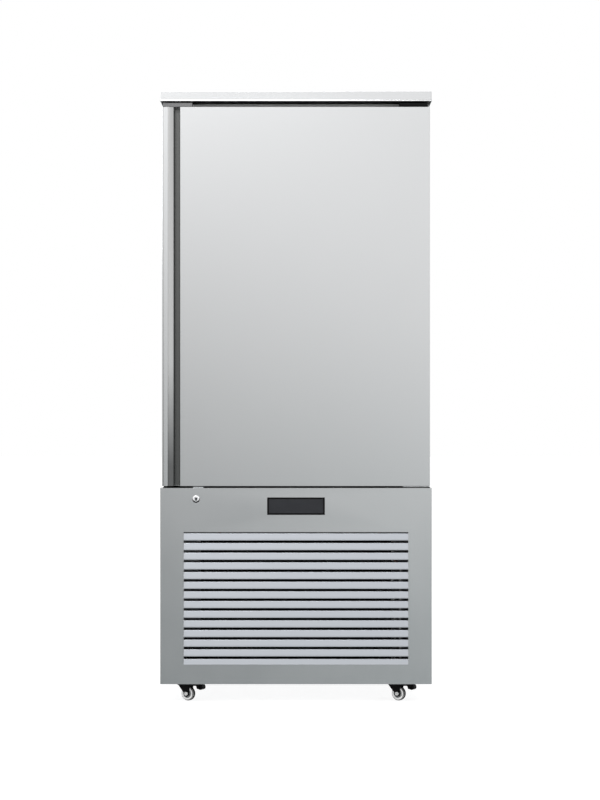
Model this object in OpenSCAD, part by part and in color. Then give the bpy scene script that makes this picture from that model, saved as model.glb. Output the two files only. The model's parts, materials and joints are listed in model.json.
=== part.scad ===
// Upright blast chiller for 600 x 400 trays: one insulated chamber with a full door
// over a louvred machine compartment, on four braked or plain swivel castors.
// Front is -Y, up is +Z, and the origin lies on the floor under the middle.

/* [Overall] */
// Width over the worktop
worktop_w = 800; // [780:5:900]
// Depth over the worktop
worktop_d = 815; // [805:5:900]
// Height of the worktop above the floor
overall_h = 1802; // [1790:2:1900]
// Thickness of the cabinet's sheet metal
sheet = 1.2; // [0.8:0.1:1.5]
// Seam between separate pieces that lie edge to edge
seam = 0.1; // [0.05:0.05:0.3]

/* [Worktop] */
// Height of the worktop's edge
worktop_h = 28; // [20:1:50]
// Thickness of the worktop's sheet
worktop_sheet = 1.5; // [1:0.5:3]
// Worktop standing proud of each side panel
side_overhang = 5; // [3:1:15]
// Worktop standing proud of the rear panel
rear_overhang = 12.5; // [12:0.5:30]
// Worktop standing proud of the door's face
front_lip = 5.5; // [4:0.5:20]

/* [Insulated chamber] */
// Thickness of the side and rear walls
side_wall = 60; // [50:1:70]
// Height of the chamber's floor over the lower panel
floor_wall = 61; // [50:1:80]
// Thickness of the chamber's roof
roof_wall = 72; // [60:1:85]

/* [Rear grille] */
// Upper edge of the grille below the machine deck
grille_drop = 14; // [10:1:30]
// Length of an air slot
vent_w = 150; // [100:5:160]
// Height of an air slot
vent_h = 8; // [5:0.5:10]
// Distance between rows of air slots
vent_pitch = 22; // [18:1:26]
// Rows of air slots
vent_rows = 11; // [6:1:12]
// Grille's upper edge to the first row
vent_drop = 44; // [30:1:60]
// Space between the two fields of air slots
vent_gap = 40; // [20:2:80]
// Grille screws from the grille's edges
grille_screw_edge = 12; // [8:1:20]
// Radius of the grille screws' heads
grille_screw_head_r = 4.5; // [4:0.5:5]

/* [Door] */
// Thickness of the door
door_t = 65; // [60:1:72]
// Space between the door and the front frame
gasket_gap = 10; // [8:0.5:14]
// Gap left in front of the gasket's sealing face
gasket_clear = 0.3; // [0.3:0.1:0.6]
// Width of the gasket
gasket_w = 28; // [20:1:30]
// Gasket outside the chamber's mouth
gasket_margin = 5; // [3:0.5:8]
// Gap under the door
door_gap = 6; // [6:0.5:10]
// Gap between the door and the worktop
door_top_gap = 17; // [15:1:25]
// Distance of the hinge axis from the door's right edge
hinge_inset = 23; // [20:1:25]
// Distance of the hinge axis behind the door's face
hinge_depth = 28; // [25:1:32]
// Radius of the hinge pins
hinge_pin_r = 5; // [4:0.5:6]
// Radial clearance of a pin or shaft that turns in a bore
running_fit = 0.05; // [0.02:0.01:0.1]
// Length of the hinge bushes
bush_l = 28; // [24:1:40]
// Wall of the hinge bushes
bush_wall = 3; // [2:0.5:5]
// Hinge pins short of the bushes' inner ends
pin_short = 5; // [3:0.5:8]
// Thickness of the bushes' flanges
bush_flange_t = 1.1; // [0.6:0.1:1.1]

/* [Hinge plates] */
// Length of the bottom hinge plate
bottom_hinge_l = 77; // [60:1:100]
// Thickness of the bottom hinge plate
bottom_hinge_t = 4.5; // [3:0.5:4.5]
// Length of the top hinge block
top_hinge_l = 83; // [60:1:100]
// Height of the top hinge block
top_hinge_t = 10; // [6:0.5:11]
// Gap between the door and the top hinge block
top_hinge_gap = 2.5; // [1.6:0.1:3.5]
// Hinge axis to the outer end of the top hinge block
top_hinge_end = 17; // [12:1:20]
// Length of the blank plate
blank_l = 86; // [60:1:100]
// Gap between the door and the blank plate
blank_gap = 1; // [0.6:0.1:3]
// Blank plate from the cabinet's left side
blank_inset = 3; // [0:0.5:8]
// Top hinge and blank plate standing back from the door's face
hinge_setback = 3; // [1:0.5:6]
// Bottom hinge plate standing back from the door's face
bottom_setback = 1; // [0.5:0.5:4]

/* [Door handle] */
// Width of the handle profile
handle_w = 56; // [50:1:70]
// Width of the finger opening
grip_w = 19; // [18:0.5:24]
// Depth of the grip
grip_depth = 40; // [32:1:45]
// Wall of the handle profile
handle_wall = 2; // [1.5:0.1:3]
// Radius of the profile's outer corner
handle_corner = 6; // [4:0.5:9]
// Radius of the lip's curved part
lip_r = 40; // [30:1:60]
// Width of the lip's curved part
lip_curve_w = 17; // [12:0.5:20]
// Radius of the rolled edge of the lip
hem_r = 2.2; // [1.8:0.1:2.6]

/* [Lower panel] */
// Height of the lower front panel
panel_h = 578; // [560:1:620]
// Depth of the flanges at the panel's back edges
panel_flange = 22; // [14:1:30]
// Depth of the panel's bottom flange
panel_foot = 17; // [10:1:22]
// Louvre opening from the panel's sides
louvre_side = 69; // [50:1:100]
// Louvre opening below the display's bezel
louvre_gap = 50.85; // [40:0.05:80]
// Bottom of the louvre opening above the panel's lower edge
louvre_rise = 58; // [50:1:70]
// Distance between slats
slat_pitch = 28.5; // [24:0.5:34]
// Height of a slat seen from the front
slat_rise = 22.7; // [18:0.1:23.5]
// Depth of a slat
slat_depth = 8; // [6:1:18]
// Thickness of a slat
slat_t = 1.5; // [1:0.1:2]
// Length of a slat past each side of the opening
slat_tail = 4; // [3:0.5:8]
// Opening's upper edge to the first slat's
slat_drop = 1.8; // [1:0.1:4]
// Gap between the panel's sheet and the slats
slat_setback = 0.4; // [0.3:0.1:1]
// Width of the slats' end carriers
carrier_w = 10; // [8:1:14]
// Depth of the slats' end carriers
carrier_d = 20; // [18:1:24]

/* [Display] */
// Width of the display bezel
display_w = 170; // [140:1:200]
// Height of the display bezel
display_h = 51.5; // [44:0.5:56]
// Display centre below the panel's upper edge
display_drop = 53.4; // [45:0.1:56]
// Width of the bezel's rim
display_rim = 5; // [4:0.5:7]
// Bezel standing proud of the panel
display_proud = 1.2; // [0.6:0.1:2]
// Depth of the bezel behind the panel's face
display_depth = 10; // [8:0.5:14]
// Window set back from the bezel's face
window_recess = 0.4; // [0.2:0.1:0.6]
// Bezel's rim lying on the panel
display_lap = 3; // [2:0.5:4]
// Depth of the controller behind the bezel
controller_d = 45; // [35:1:60]
// Clearance of fittings in the panel's cut-outs
cutout_clear = 0.2; // [0.1:0.1:0.4]

/* [Lock] */
// Lock centre from the worktop's left edge
lock_inset = 105.4; // [90:0.2:120]
// Lock centre below the panel's upper edge
lock_drop = 32.6; // [28:0.2:36]
// Radius of the bezel
lock_bezel_r = 11; // [10:0.5:13]
// Bezel standing proud of the panel
lock_proud = 2; // [1:0.5:3]
// Radius of the lock's barrel
lock_barrel_r = 9.5; // [8.5:0.5:9.8]
// Length of the barrel behind the panel's face
lock_barrel_l = 24.5; // [18:0.5:26]
// Radius of the plug
lock_plug_r = 7; // [6:0.5:7.5]
// Width of the cam arm
lock_arm_w = 12; // [8:0.5:13]
// Plug set back from the bezel's face
lock_recess = 0.6; // [0.3:0.1:1]
// Thickness of the lock's fixing nut
lock_nut_t = 4; // [3:0.5:6]
// Gap between the barrel and the cam arm
lock_arm_gap = 0.5; // [0.3:0.1:1]
// Space round the cam arm in its slots
lock_slot_gap = 4; // [3:0.5:6]
// Thickness of the cam arm
lock_arm_t = 3; // [2:0.5:4]
// Height by which the arm stands in the door's edge when locked
lock_engage = 3.4; // [2:0.2:5]
// Space over the locked arm in the door's edge
keeper_spare = 2.6; // [1:0.2:5]
// Height of the guide plate round the lock's slot
guide_h = 3.5; // [2:0.5:4.5]
// Guide plate left of the lock's axis
guide_left = 9.4; // [8.4:0.2:16]
// Guide plate right of the lock's axis
guide_right = 21.6; // [14:0.2:30]
// Guide plate behind the panel's face
guide_setback = 6; // [2:0.5:12]
// Guide plate behind the lock's slot
guide_tail = 10; // [4:1:16]

/* [Rack] */
// Width of an upright
upright_w = 30; // [20:1:40]
// Depth of an upright from the side wall
upright_d = 27; // [20:1:30]
// Uprights' ends short of the chamber's floor and roof
upright_end = 5; // [0:1:20]
// Runners behind the chamber's mouth
runner_setback = 26.1; // [16:0.1:46]
// Width of a runner's shelf
runner_w = 28; // [20:1:35]
// Height of a runner's side leg
runner_leg = 15; // [10:1:20]
// Thickness of a runner
runner_t = 1.5; // [1:0.5:2]
// Distance between runners
runner_pitch = 67; // [60:1:80]
// Lowest runner above the chamber's floor
runner_first = 55; // [40:1:70]
// Least space over the top runner
runner_headroom = 60; // [50:1:80]

// Probe socket's axis below the chamber's roof
probe_drop = 35; // [25:1:60]
// Length of the probe socket
probe_l = 18; // [12:1:24]
// Radius of the probe socket
probe_r = 11; // [8:0.5:14]
// Radius of the probe socket's bore
probe_bore_r = 4; // [3:0.5:6]

/* [Evaporator] */
// Diameter of the evaporator fans
evap_fan_d = 290; // [240:5:300]
// Diameter of the openings in the fan panel
evap_hole_d = 300; // [300:5:320]
// Outer edge of a guard past its opening
guard_edge = 8; // [5:1:12]
// Depth of a guard
guard_depth = 6; // [4:0.5:8]
// Width of a guard's rings and spokes
guard_wire = 3; // [2:0.5:4]
// Rings inside a guard's rim
guard_rings = 5; // [3:1:7]
// Distance between the fans' axes
evap_fan_pitch = 445; // [400:5:460]
// Openings above and below the fan panel
fan_panel_end = 40; // [30:1:60]
// Space beside the evaporator's fin pack
evap_side = 45; // [35:1:80]
// Evaporator's fin pack short of the chamber's floor and roof
evap_end = 53.5; // [45:0.5:100]
// Depth of the evaporator's fin pack
evap_d = 75; // [60:5:80]
// Thickness of the coils' end plates
coil_plate_t = 2; // [1.5:0.5:3]
// Coils' end plates past the fins
coil_plate_past = 8; // [4:1:12]
// Distance between the coils' return bends
bend_pitch = 60; // [45:1:80]
// Radius of the coils' return bends
bend_r = 12; // [9:0.5:14]
// Radius of the coils' tubes
tube_r = 4; // [3:0.5:5]
// Distance between the coils' fins
fin_pitch = 14; // [10:1:20]
// Thickness of the coils' fins
fin_t = 1.2; // [0.8:0.2:2]

/* [Fans] */
// Depth of a fan's hub
fan_depth = 40; // [30:1:44]
// Hub radius
fan_hub_r = 42; // [35:1:50]
// Front wall of a fan's hub
hub_face = 4; // [3:0.5:8]
// Tips of the blades to the outer faces of the motor's bracket
post_gap = 22; // [18:1:26]
// Fan plate to the motor's cross bar
fan_stand = 58.5; // [56:0.5:60]
// Hub's back to the cross bar
fan_back_gap = 5; // [4:0.5:8]
// Radius of a motor
motor_r = 45; // [40:1:55]
// Length of a motor
motor_l = 57; // [45:1:60]
// Radius of a motor shaft
shaft_r = 6; // [5:0.5:8]
// Width of the motor brackets
bracket_w = 24; // [16:1:30]
// Thickness of the motor brackets
bracket_t = 3; // [2:0.5:4]
// Blades of a fan
blade_count = 5; // [3:1:7]
// Thickness of a blade
blade_t = 2.5; // [2:0.5:4]
// Chord of a blade as a share of the fan's radius
blade_chord = 0.6; // [0.4:0.05:0.7]
// Slope of the blades
blade_slope = 28; // [20:1:34]

/* [Machine compartment] */
// Condenser from the panel's sides
cond_side = 120; // [110:1:150]
// Height of the condenser
cond_h = 380; // [320:10:400]
// Depth of the condenser
cond_d = 65; // [50:5:70]
// Condenser behind the panel's face
cond_setback = 37; // [34:1:45]
// Condenser above the base pan
cond_rise = 41; // [30:1:50]
// Depth of the shroud
shroud_d = 38; // [30:1:45]
// Diameter of the condenser fan
cond_fan_d = 300; // [260:5:310]
// Diameter of the shroud's opening
shroud_hole_d = 320; // [315:5:330]
// Radius of the compressor
comp_r = 115; // [100:1:120]
// Height of the compressor's shell
comp_h = 245; // [200:5:260]
// Wall of the compressor's shell
comp_wall = 12; // [8:1:20]
// Height of the compressor's rubber feet
comp_foot_h = 25; // [18:1:30]
// Compressor's axis from the right side panel
comp_inset = 218.8; // [214:0.2:228]
// Compressor's axis in front of the rear panel
comp_back = 265; // [230:1:270]
// Receiver's axis left of the compressor's
receiver_left = 210; // [195:1:220]
// Receiver's axis behind the compressor's
receiver_back = 50; // [30:1:60]
// Radius of the liquid receiver
receiver_r = 42; // [35:1:45]
// Height of the liquid receiver
receiver_h = 210; // [180:5:240]
// Wall of the liquid receiver
receiver_wall = 3; // [2:0.5:4]
// Crossing pipes above the compressor
pipe_rise = 60; // [40:1:80]
// Suction pipe above the other pipes
suction_rise = 40; // [25:1:60]
// Discharge pipe's drop outside the condenser
header_gap = 30; // [25:1:40]
// Radius of the refrigerant pipes
pipe_r = 6; // [5:0.5:7]
// Height of the condensate tray
tray_h = 40; // [30:1:60]
// Thickness of the condensate tray's walls
tray_wall = 2; // [1.5:0.5:4]
// Condensate tray left of the drain's axis
tray_left = 130; // [80:1:150]
// Condensate tray right of the drain's axis
tray_right = 110; // [60:1:115]
// Condensate tray in front of the drain's axis
tray_front = 90; // [60:1:110]
// Gap behind the condensate tray
tray_gap = 10; // [4:1:30]
// Width of the electrical box
ebox_w = 90; // [70:1:100]
// Length of the electrical box
ebox_l = 300; // [240:5:320]
// Height of the electrical box
ebox_h = 240; // [200:5:260]
// Electrical box below the machine deck
ebox_drop = 30; // [20:1:60]
// Electrical box in front of the rear panel
ebox_back = 165; // [120:1:180]
// Drain's axis from the chamber's left wall
drain_inset = 120; // [100:1:140]
// Drain's axis behind the fan panel
drain_back = 85; // [60:1:100]
// Liquid pipe's port from the chamber's left wall
liquid_inset = 85; // [70:1:90]
// Suction pipe's port from the chamber's right wall
suction_inset = 65; // [55:1:80]
// Pipes' ports behind the evaporator's front face
port_depth = 40; // [30:1:45]
// Radius of the drain pipe
drain_r = 14; // [12:0.5:18]
// Wall of the drain pipe
drain_wall = 2; // [1:0.5:3]
// Width of the drain's flange
drain_flange_w = 10; // [6:1:14]
// Drain pipe's end below the tray's rim
drain_dip = 8; // [4:1:15]
// Inner radius of the supply cable's gland
gland_bore_r = 6.5; // [5:0.5:8]
// Wall of the gland's neck
gland_wall = 3; // [2:0.5:4]
// Length of the cable gland
gland_l = 26; // [22:1:30]
// Gland's axis from the left side panel
gland_inset = 93.8; // [60:0.2:120]
// Gland's axis above the base pan's underside
gland_rise = 100; // [80:1:140]

/* [Base and castors] */
// Thickness of the base pan
base_t = 2; // [1.5:0.5:3]
// Height of the base pan's upright flanges
base_flange = 40; // [20:1:60]
// Diameter of a wheel
wheel_d = 42; // [38:1:48]
// Width of a wheel
wheel_w = 18; // [14:0.5:20]
// Thickness of a tyre
tyre_t = 3.5; // [2:0.5:6]
// Radius of an axle bolt
axle_r = 3.5; // [3:0.5:4.5]
// Wheel's axle behind the swivel's axis
trail = 8; // [6:0.5:10]
// Angle by which the castors stand turned
castor_yaw = 28; // [0:1:60]
// Gap between a wheel and the crown over it
crown_clear = 3.6; // [3:0.1:6]
// Thickness of a fork's crown
crown_t = 4; // [3:0.5:5]
// Gap between a crown and the ball race
swivel_gap = 0.4; // [0.3:0.1:0.6]
// Height of the ball race
race_h = 4.7; // [4:0.1:6]
// Thickness of a castor's plate
castor_plate_t = 2.5; // [2:0.5:4]
// Width of a castor's plate
castor_plate_w = 76; // [60:1:78]
// Radius of the ball race
race_r = 27; // [22:1:28]
// Radius of a crown's round middle
crown_r = 24; // [20:1:26]
// Radius of a kingpin
kingpin_r = 4; // [3:0.5:5]
// Thickness of a fork's legs
leg_t = 2.5; // [2:0.5:3]
// Radius of the axle bolts' heads
bolt_head_r = 5.5; // [4.5:0.5:6.5]
// Height of the axle bolts' heads
bolt_head_h = 3; // [2:0.5:4]
// Gap between a wheel and each leg
leg_gap = 1; // [0.6:0.1:2]
// Castor axes from the side panels
castor_inset = 82; // [78:1:100]
// Front castor axes behind the panel's face
castor_front = 65; // [60:1:80]
// Rear castor axes in front of the rear panel
castor_back = 58; // [50:1:80]

// Radius of a brake pedal's boss
pedal_boss_r = 4.2; // [3.8:0.1:4.4]
// Radius of a brake pedal's pin
pedal_pin_r = 2.5; // [2:0.1:2.6]

/* [Hidden] */
$fn = 48;
// Cuts run past the faces that they open by this much
past = 1;

// Planes of the cabinet, from front to back
front_y = front_lip - worktop_d / 2;
door_back_y = front_y + door_t;
frame_y = door_back_y + gasket_gap;
cham_y0 = frame_y + sheet;
back_y = worktop_d / 2 - rear_overhang;
cham_y1 = back_y - side_wall;
// Half widths
top_x = worktop_w / 2;
body_x = top_x - side_overhang;
inner_x = body_x - sheet;
cham_x = body_x - side_wall;
// Levels
crown_z0 = wheel_d + crown_clear;
crown_z1 = crown_z0 + crown_t;
race_z0 = crown_z1 + swivel_gap;
race_z1 = race_z0 + race_h;
base_z = race_z1 + castor_plate_t;
base_top = base_z + base_t;
panel_z0 = base_z - sheet;
panel_z1 = panel_z0 + panel_h;
top_z = overall_h - worktop_h;
door_z0 = panel_z1 + door_gap;
door_z1 = top_z - door_top_gap;
cham_z0 = panel_z1 + floor_wall;
cham_z1 = top_z - roof_wall;
// Upper edge of the rear grille
grille_z1 = panel_z1 - grille_drop;

// Door
skin_x0 = handle_w - body_x;
hinge_x = body_x - hinge_inset;
hinge_y = front_y + hinge_depth;
gasket_in = cham_x + gasket_margin;
gasket_z0 = cham_z0 - gasket_margin - gasket_w;
gasket_z1 = cham_z1 + gasket_margin + gasket_w;
bush_r = hinge_pin_r + running_fit + bush_wall;
pin_l = bush_l - pin_short;
grip_y = front_y + grip_depth;
lip_x = skin_x0 - handle_wall - grip_w;

// Lock
lock_x = lock_inset - top_x;
lock_z = panel_z1 - lock_drop;
lock_arm_r = lock_drop + door_gap + lock_engage;
lock_arm_y = front_y + lock_barrel_l + lock_arm_gap;
lock_corner_r = norm([lock_arm_r, lock_arm_w / 2]);
slot_side = 1;
slot_x0 = lock_x - lock_arm_w / 2 - slot_side;
slot_x1 = lock_x + sqrt(pow(lock_corner_r, 2) - pow(lock_drop - sheet, 2)) + slot_side;
keeper_x1 = lock_x + sqrt(pow(lock_corner_r, 2) - pow(lock_drop + door_gap, 2)) + slot_side;
slot_y0 = lock_arm_y - lock_slot_gap;
slot_y1 = lock_arm_y + lock_arm_t + lock_slot_gap;
keeper_h = lock_engage + keeper_spare;

// Evaporator stack, from the chamber's back wall forwards
coil_gap = 5;
evap_y1 = cham_y1 - coil_gap;
evap_y0 = evap_y1 - evap_d;
fan_panel_y1 = evap_y0 - coil_gap - motor_l - bracket_t - fan_stand;
fan_panel_y0 = fan_panel_y1 - sheet;
cham_mid_z = (cham_z0 + cham_z1) / 2;
evap_w = 2 * (cham_x - evap_side);
evap_z0 = cham_z0 + evap_end;
evap_z1 = cham_z1 - evap_end;
evap_fan_z = [cham_mid_z - evap_fan_pitch / 2, cham_mid_z + evap_fan_pitch / 2];

// Rack
rack_x = cham_x - upright_d;
runner_y1 = fan_panel_y0;
runner_y0 = cham_y0 + runner_setback;
runner_l = runner_y1 - runner_y0;
runner_z0 = cham_z0 + runner_first;
runner_gaps = floor((cham_z1 - runner_z0 - runner_headroom) / runner_pitch);

// Machine compartment
louvre_w = worktop_w - 2 * louvre_side;
louvre_z0 = panel_z0 + louvre_rise;
louvre_z1 = panel_z1 - display_drop - display_h / 2 - louvre_gap;
slat_y0 = front_y + sheet + slat_setback;
slat_top_z = louvre_z1 - slat_drop;
slat_count = ceil((louvre_z1 - louvre_z0 - slat_drop) / slat_pitch);
cond_w = worktop_w - 2 * cond_side;
cond_y0 = front_y + cond_setback;
cond_y1 = cond_y0 + cond_d;
cond_z0 = base_top + cond_rise;
cond_z1 = cond_z0 + cond_h;
shroud_y1 = cond_y1 + shroud_d;
cond_fan_z = (cond_z0 + cond_z1) / 2;
comp_x = inner_x - comp_inset;
comp_y = back_y - comp_back;
comp_z0 = base_top + comp_foot_h;
comp_plate_t = 5;
comp_top_z = comp_z0 + comp_plate_t + comp_h;
receiver_x = comp_x - receiver_left;
receiver_y = comp_y + receiver_back;
// Ports through the chamber's floor: drain, liquid pipe, suction pipe
port_y = evap_y0 + port_depth;
drain_x = drain_inset - cham_x;
drain_y = fan_panel_y1 + drain_back;
liquid_x = liquid_inset - cham_x;
suction_x = cham_x - suction_inset;
port_clear = 1;
gland_x = gland_inset - inner_x;
gland_z = base_z + gland_rise;

// Castors
castor_x = body_x - castor_inset;
castor_y0 = front_y + castor_front;
castor_y1 = back_y - castor_back;
leg_in = wheel_w / 2 + leg_gap;
leg_out = leg_in + leg_t;
axle_z = wheel_d / 2;
pedal_u = 32;
pedal_z = crown_z0 - 4.6;
crown_left = 37;
crown_right = 36;

// A block between two opposite corners
module block(low, high) translate(low) cube(high - low);

// The children and their mirror image in the plane x = 0
module both_sides() {
    children();
    mirror([1, 0, 0]) children();
}

// A round bar along y
module rod_y(x, z, y0, y1, r) translate([x, y0, z]) rotate([-90, 0, 0]) cylinder(h = y1 - y0, r = r);

// A round bar along z
module rod_z(x, y, z0, z1, r) translate([x, y, z0]) cylinder(h = z1 - z0, r = r);

// A flat outline in the x-z plane, given thickness t along y
module slab_xz(t) rotate([90, 0, 0]) linear_extrude(t, center = true) children();

// Points of an arc
function arc(c, r, a0, a1, n = 8) =
    [for (i = [0 : n]) c + r * [cos(a0 + (a1 - a0) * i / n), sin(a0 + (a1 - a0) * i / n)]];

// ---------- Cabinet ----------

module worktop() color("silver") difference() {
    block([-top_x, -worktop_d / 2, top_z], [top_x, worktop_d / 2, overall_h]);
    block([worktop_sheet - top_x, worktop_sheet - worktop_d / 2, top_z - past],
        [top_x - worktop_sheet, worktop_d / 2 - worktop_sheet, overall_h - worktop_sheet]);
}

module worktop_core() color([0.07, 0.07, 0.07])
    block([worktop_sheet - top_x, worktop_sheet - worktop_d / 2, top_z],
        [top_x - worktop_sheet, worktop_d / 2 - worktop_sheet, overall_h - worktop_sheet]);

module side_panel() color("silver")
    block([inner_x, cham_y0, base_z], [body_x, back_y, top_z]);

module side_panel_left() mirror([1, 0, 0]) side_panel();

module side_panel_right() side_panel();

module rear_panel() color("silver")
    block([-inner_x, back_y - sheet, grille_z1], [inner_x, back_y, top_z]);

// Air slots in two fields, and a hole for the cable gland
module rear_grille() color("silver") difference() {
    block([-inner_x, back_y - sheet, base_z], [inner_x, back_y, grille_z1]);
    for (i = [0 : vent_rows - 1]) translate([0, 0, grille_z1 - vent_drop - i * vent_pitch])
        both_sides() block([vent_gap / 2, back_y - sheet - past, -vent_h / 2],
            [vent_gap / 2 + vent_w, back_y + past, vent_h / 2]);
    rod_y(gland_x, gland_z, back_y - 2 * sheet, back_y + past,
        gland_bore_r + gland_wall + cutout_clear);
    for (x = grille_screw_x, z = grille_screw_z)
        rod_y(x, z, back_y - 2 * sheet, back_y + past, 2.2);
}

grille_screw_x = [grille_screw_edge - inner_x, inner_x - grille_screw_edge];
grille_screw_z = [base_top + base_flange + grille_screw_edge, (base_z + grille_z1) / 2,
    grille_z1 - grille_screw_edge];

module grille_screws() color("gainsboro") for (x = grille_screw_x, z = grille_screw_z) {
    rod_y(x, z, back_y - 9, back_y + 0.5, 2);
    rod_y(x, z, back_y, back_y + 2, grille_screw_head_r);
}

// Hexagonal nut outside, threaded neck through the grille, round nut inside
module cable_gland() color([0.12, 0.12, 0.12]) difference() {
    union() {
        rod_y(gland_x, gland_z, back_y - gland_l / 2, back_y + gland_l / 2 - 2,
            gland_bore_r + gland_wall);
        rod_y(gland_x, gland_z, back_y - sheet - 5, back_y - sheet,
            gland_bore_r + gland_wall + 4);
        translate([gland_x, back_y, gland_z]) rotate([-90, 0, 0])
            cylinder(h = 8, r = gland_bore_r + gland_wall + 3, $fn = 6);
    }
    rod_y(gland_x, gland_z, back_y - gland_l, back_y + gland_l, gland_bore_r);
}

// Four strips round the chamber's mouth
module front_frame() color("silver") {
    both_sides() block([cham_x, frame_y, cham_z0 + seam], [body_x, cham_y0, cham_z1 - seam]);
    block([-body_x, frame_y, panel_z1], [body_x, cham_y0, cham_z0]);
    block([-body_x, frame_y, cham_z1], [body_x, cham_y0, top_z]);
}

// Ports for the drain and the two pipes
module floor_ports(z0, z1) {
    rod_z(drain_x, drain_y, z0, z1, drain_r + port_clear);
    rod_z(liquid_x, port_y, z0, z1, pipe_r + port_clear);
    rod_z(suction_x, port_y, z0, z1, pipe_r + port_clear);
}

module deck_panel() color("silver") difference() {
    block([-inner_x, cham_y0, panel_z1], [inner_x, back_y - sheet, panel_z1 + sheet]);
    floor_ports(panel_z1 - past, panel_z1 + sheet + past);
}

module wall_insulation() color("khaki") difference() {
    block([-inner_x, cham_y0, panel_z1 + sheet], [inner_x, back_y - sheet, top_z]);
    block([-cham_x - sheet, cham_y0 - past, cham_z0 - sheet],
        [cham_x + sheet, cham_y1 + sheet, cham_z1 + sheet]);
    floor_ports(panel_z1, cham_z0);
}

// Five sheets, edge to edge
module chamber_liner() color("gainsboro") {
    both_sides() block([cham_x, cham_y0, cham_z0 + seam],
        [cham_x + sheet, cham_y1 - seam, cham_z1 - seam]);
    block([-cham_x - sheet, cham_y1, cham_z0 + seam],
        [cham_x + sheet, cham_y1 + sheet, cham_z1 - seam]);
    block([-cham_x - sheet, cham_y0, cham_z1],
        [cham_x + sheet, cham_y1 + sheet, cham_z1 + sheet]);
    difference() {
        block([-cham_x - sheet, cham_y0, cham_z0 - sheet],
            [cham_x + sheet, cham_y1 + sheet, cham_z0]);
        floor_ports(cham_z0 - sheet - past, cham_z0 + past);
    }
}

module floor_drain() color("gainsboro") difference() {
    union() {
        rod_z(drain_x, drain_y, base_top + tray_h - drain_dip, cham_z0 + 0.5, drain_r);
        rod_z(drain_x, drain_y, cham_z0, cham_z0 + 2, drain_r + drain_flange_w);
    }
    rod_z(drain_x, drain_y, base_top, cham_z0 + 5, drain_r - drain_wall);
}

// ---------- Rack ----------

// Channels with their open side to the wall
module rack_uprights() color("silver") both_sides()
    for (y = [runner_y0, runner_y1 - upright_w]) difference() {
        block([rack_x, y, cham_z0 + upright_end],
            [cham_x, y + upright_w, cham_z1 - upright_end]);
        block([rack_x + runner_t, y + runner_t, cham_z0],
            [cham_x + past, y + upright_w - runner_t, cham_z1]);
    }

// A shelf with a leg on its outer side, which lies on the uprights
module runner(z) {
    translate([0, runner_y0, z]) rotate([-90, 0, 0]) linear_extrude(runner_l)
        polygon([[rack_x - runner_w, 0], [rack_x - runner_w, runner_t],
            [rack_x - runner_t, runner_t], [rack_x - runner_t, runner_leg],
            [rack_x, runner_leg], [rack_x, 0]]);
}

module tray_runners() color("gainsboro") both_sides()
    for (i = [0 : runner_gaps]) runner(runner_z0 + i * runner_pitch);

// Socket of the core probe, on the right wall over the top tray
module probe_socket() color([0.1, 0.1, 0.1]) difference() {
    translate([cham_x, 0, cham_z1 - probe_drop]) rotate([0, -90, 0])
        cylinder(h = probe_l, r = probe_r);
    translate([cham_x - probe_l / 3, 0, cham_z1 - probe_drop]) rotate([0, -90, 0])
        cylinder(h = probe_l, r = probe_bore_r);
}

// ---------- Evaporator ----------

module fan_panel() color("silver") difference() {
    block([-cham_x, fan_panel_y0, cham_z0 + fan_panel_end],
        [cham_x, fan_panel_y1, cham_z1 - fan_panel_end]);
    for (z = evap_fan_z) rod_y(0, z, fan_panel_y0 - past, fan_panel_y1 + past, evap_hole_d / 2);
}

// A flat ring round the y axis
module ring_y(z, y0, y1, r, w) translate([0, y0, z]) rotate([-90, 0, 0])
    rotate_extrude() translate([r - w, 0]) square([w, y1 - y0]);

// Rings on four spokes
module fan_guards() color("gainsboro") for (z = evap_fan_z) {
    guard_r = evap_hole_d / 2 + guard_edge;
    y0 = fan_panel_y0 - guard_depth;
    ring_y(z, y0, fan_panel_y0, guard_r, guard_wire + 2);
    for (i = [1 : guard_rings])
        ring_y(z, y0, y0 + guard_wire, guard_r * i / (guard_rings + 1), guard_wire);
    for (a = [0, 90]) translate([0, y0 + guard_wire - 0.5, z]) rotate([0, a, 0])
        cube([2 * guard_r - 4, guard_wire, guard_wire + 1], center = true);
}

// Fan with its axis on local z, hub from 0 to fan_depth
module impeller(d) difference() {
    intersection() {
        cylinder(h = fan_depth, r = d / 2);
        union() {
            cylinder(h = fan_depth, r = fan_hub_r);
            for (i = [0 : blade_count - 1]) rotate([0, 0, 360 * i / blade_count])
                translate([fan_hub_r - 5, 0, fan_depth / 2]) rotate([blade_slope, 0, 0])
                    translate([0, -blade_chord * d / 4, -blade_t / 2])
                        cube([d / 2, blade_chord * d / 2, blade_t]);
        }
    }
    translate([0, 0, hub_face]) cylinder(h = fan_depth, r = shaft_r + running_fit);
}

// Motor, shaft and bracket behind a fan plate, with the axis on local z
module fan_motor(post_x) {
    shaft_z0 = fan_stand - fan_back_gap - fan_depth + hub_face + 1;
    both_sides() block([post_x - bracket_t, -bracket_w / 2, 0],
        [post_x, bracket_w / 2, fan_stand]);
    difference() {
        block([-post_x, -bracket_w / 2, fan_stand], [post_x, bracket_w / 2, fan_stand + bracket_t]);
        translate([0, 0, fan_stand - past]) cylinder(h = bracket_t + 2 * past, r = shaft_r + 2);
    }
    translate([0, 0, fan_stand + bracket_t]) cylinder(h = motor_l, r = motor_r);
    translate([0, 0, shaft_z0]) cylinder(h = fan_stand + bracket_t + 1 - shaft_z0, r = shaft_r);
}

// Moves what is modelled on local z to a fan axis along y, from the plate at y
module on_fan_axis(y, z) translate([0, y, z]) rotate([-90, 0, 0]) children();

module evaporator_fan_motors() color([0.2, 0.2, 0.2])
    for (z = evap_fan_z) on_fan_axis(fan_panel_y1, z) fan_motor(evap_fan_d / 2 + post_gap);

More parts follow.
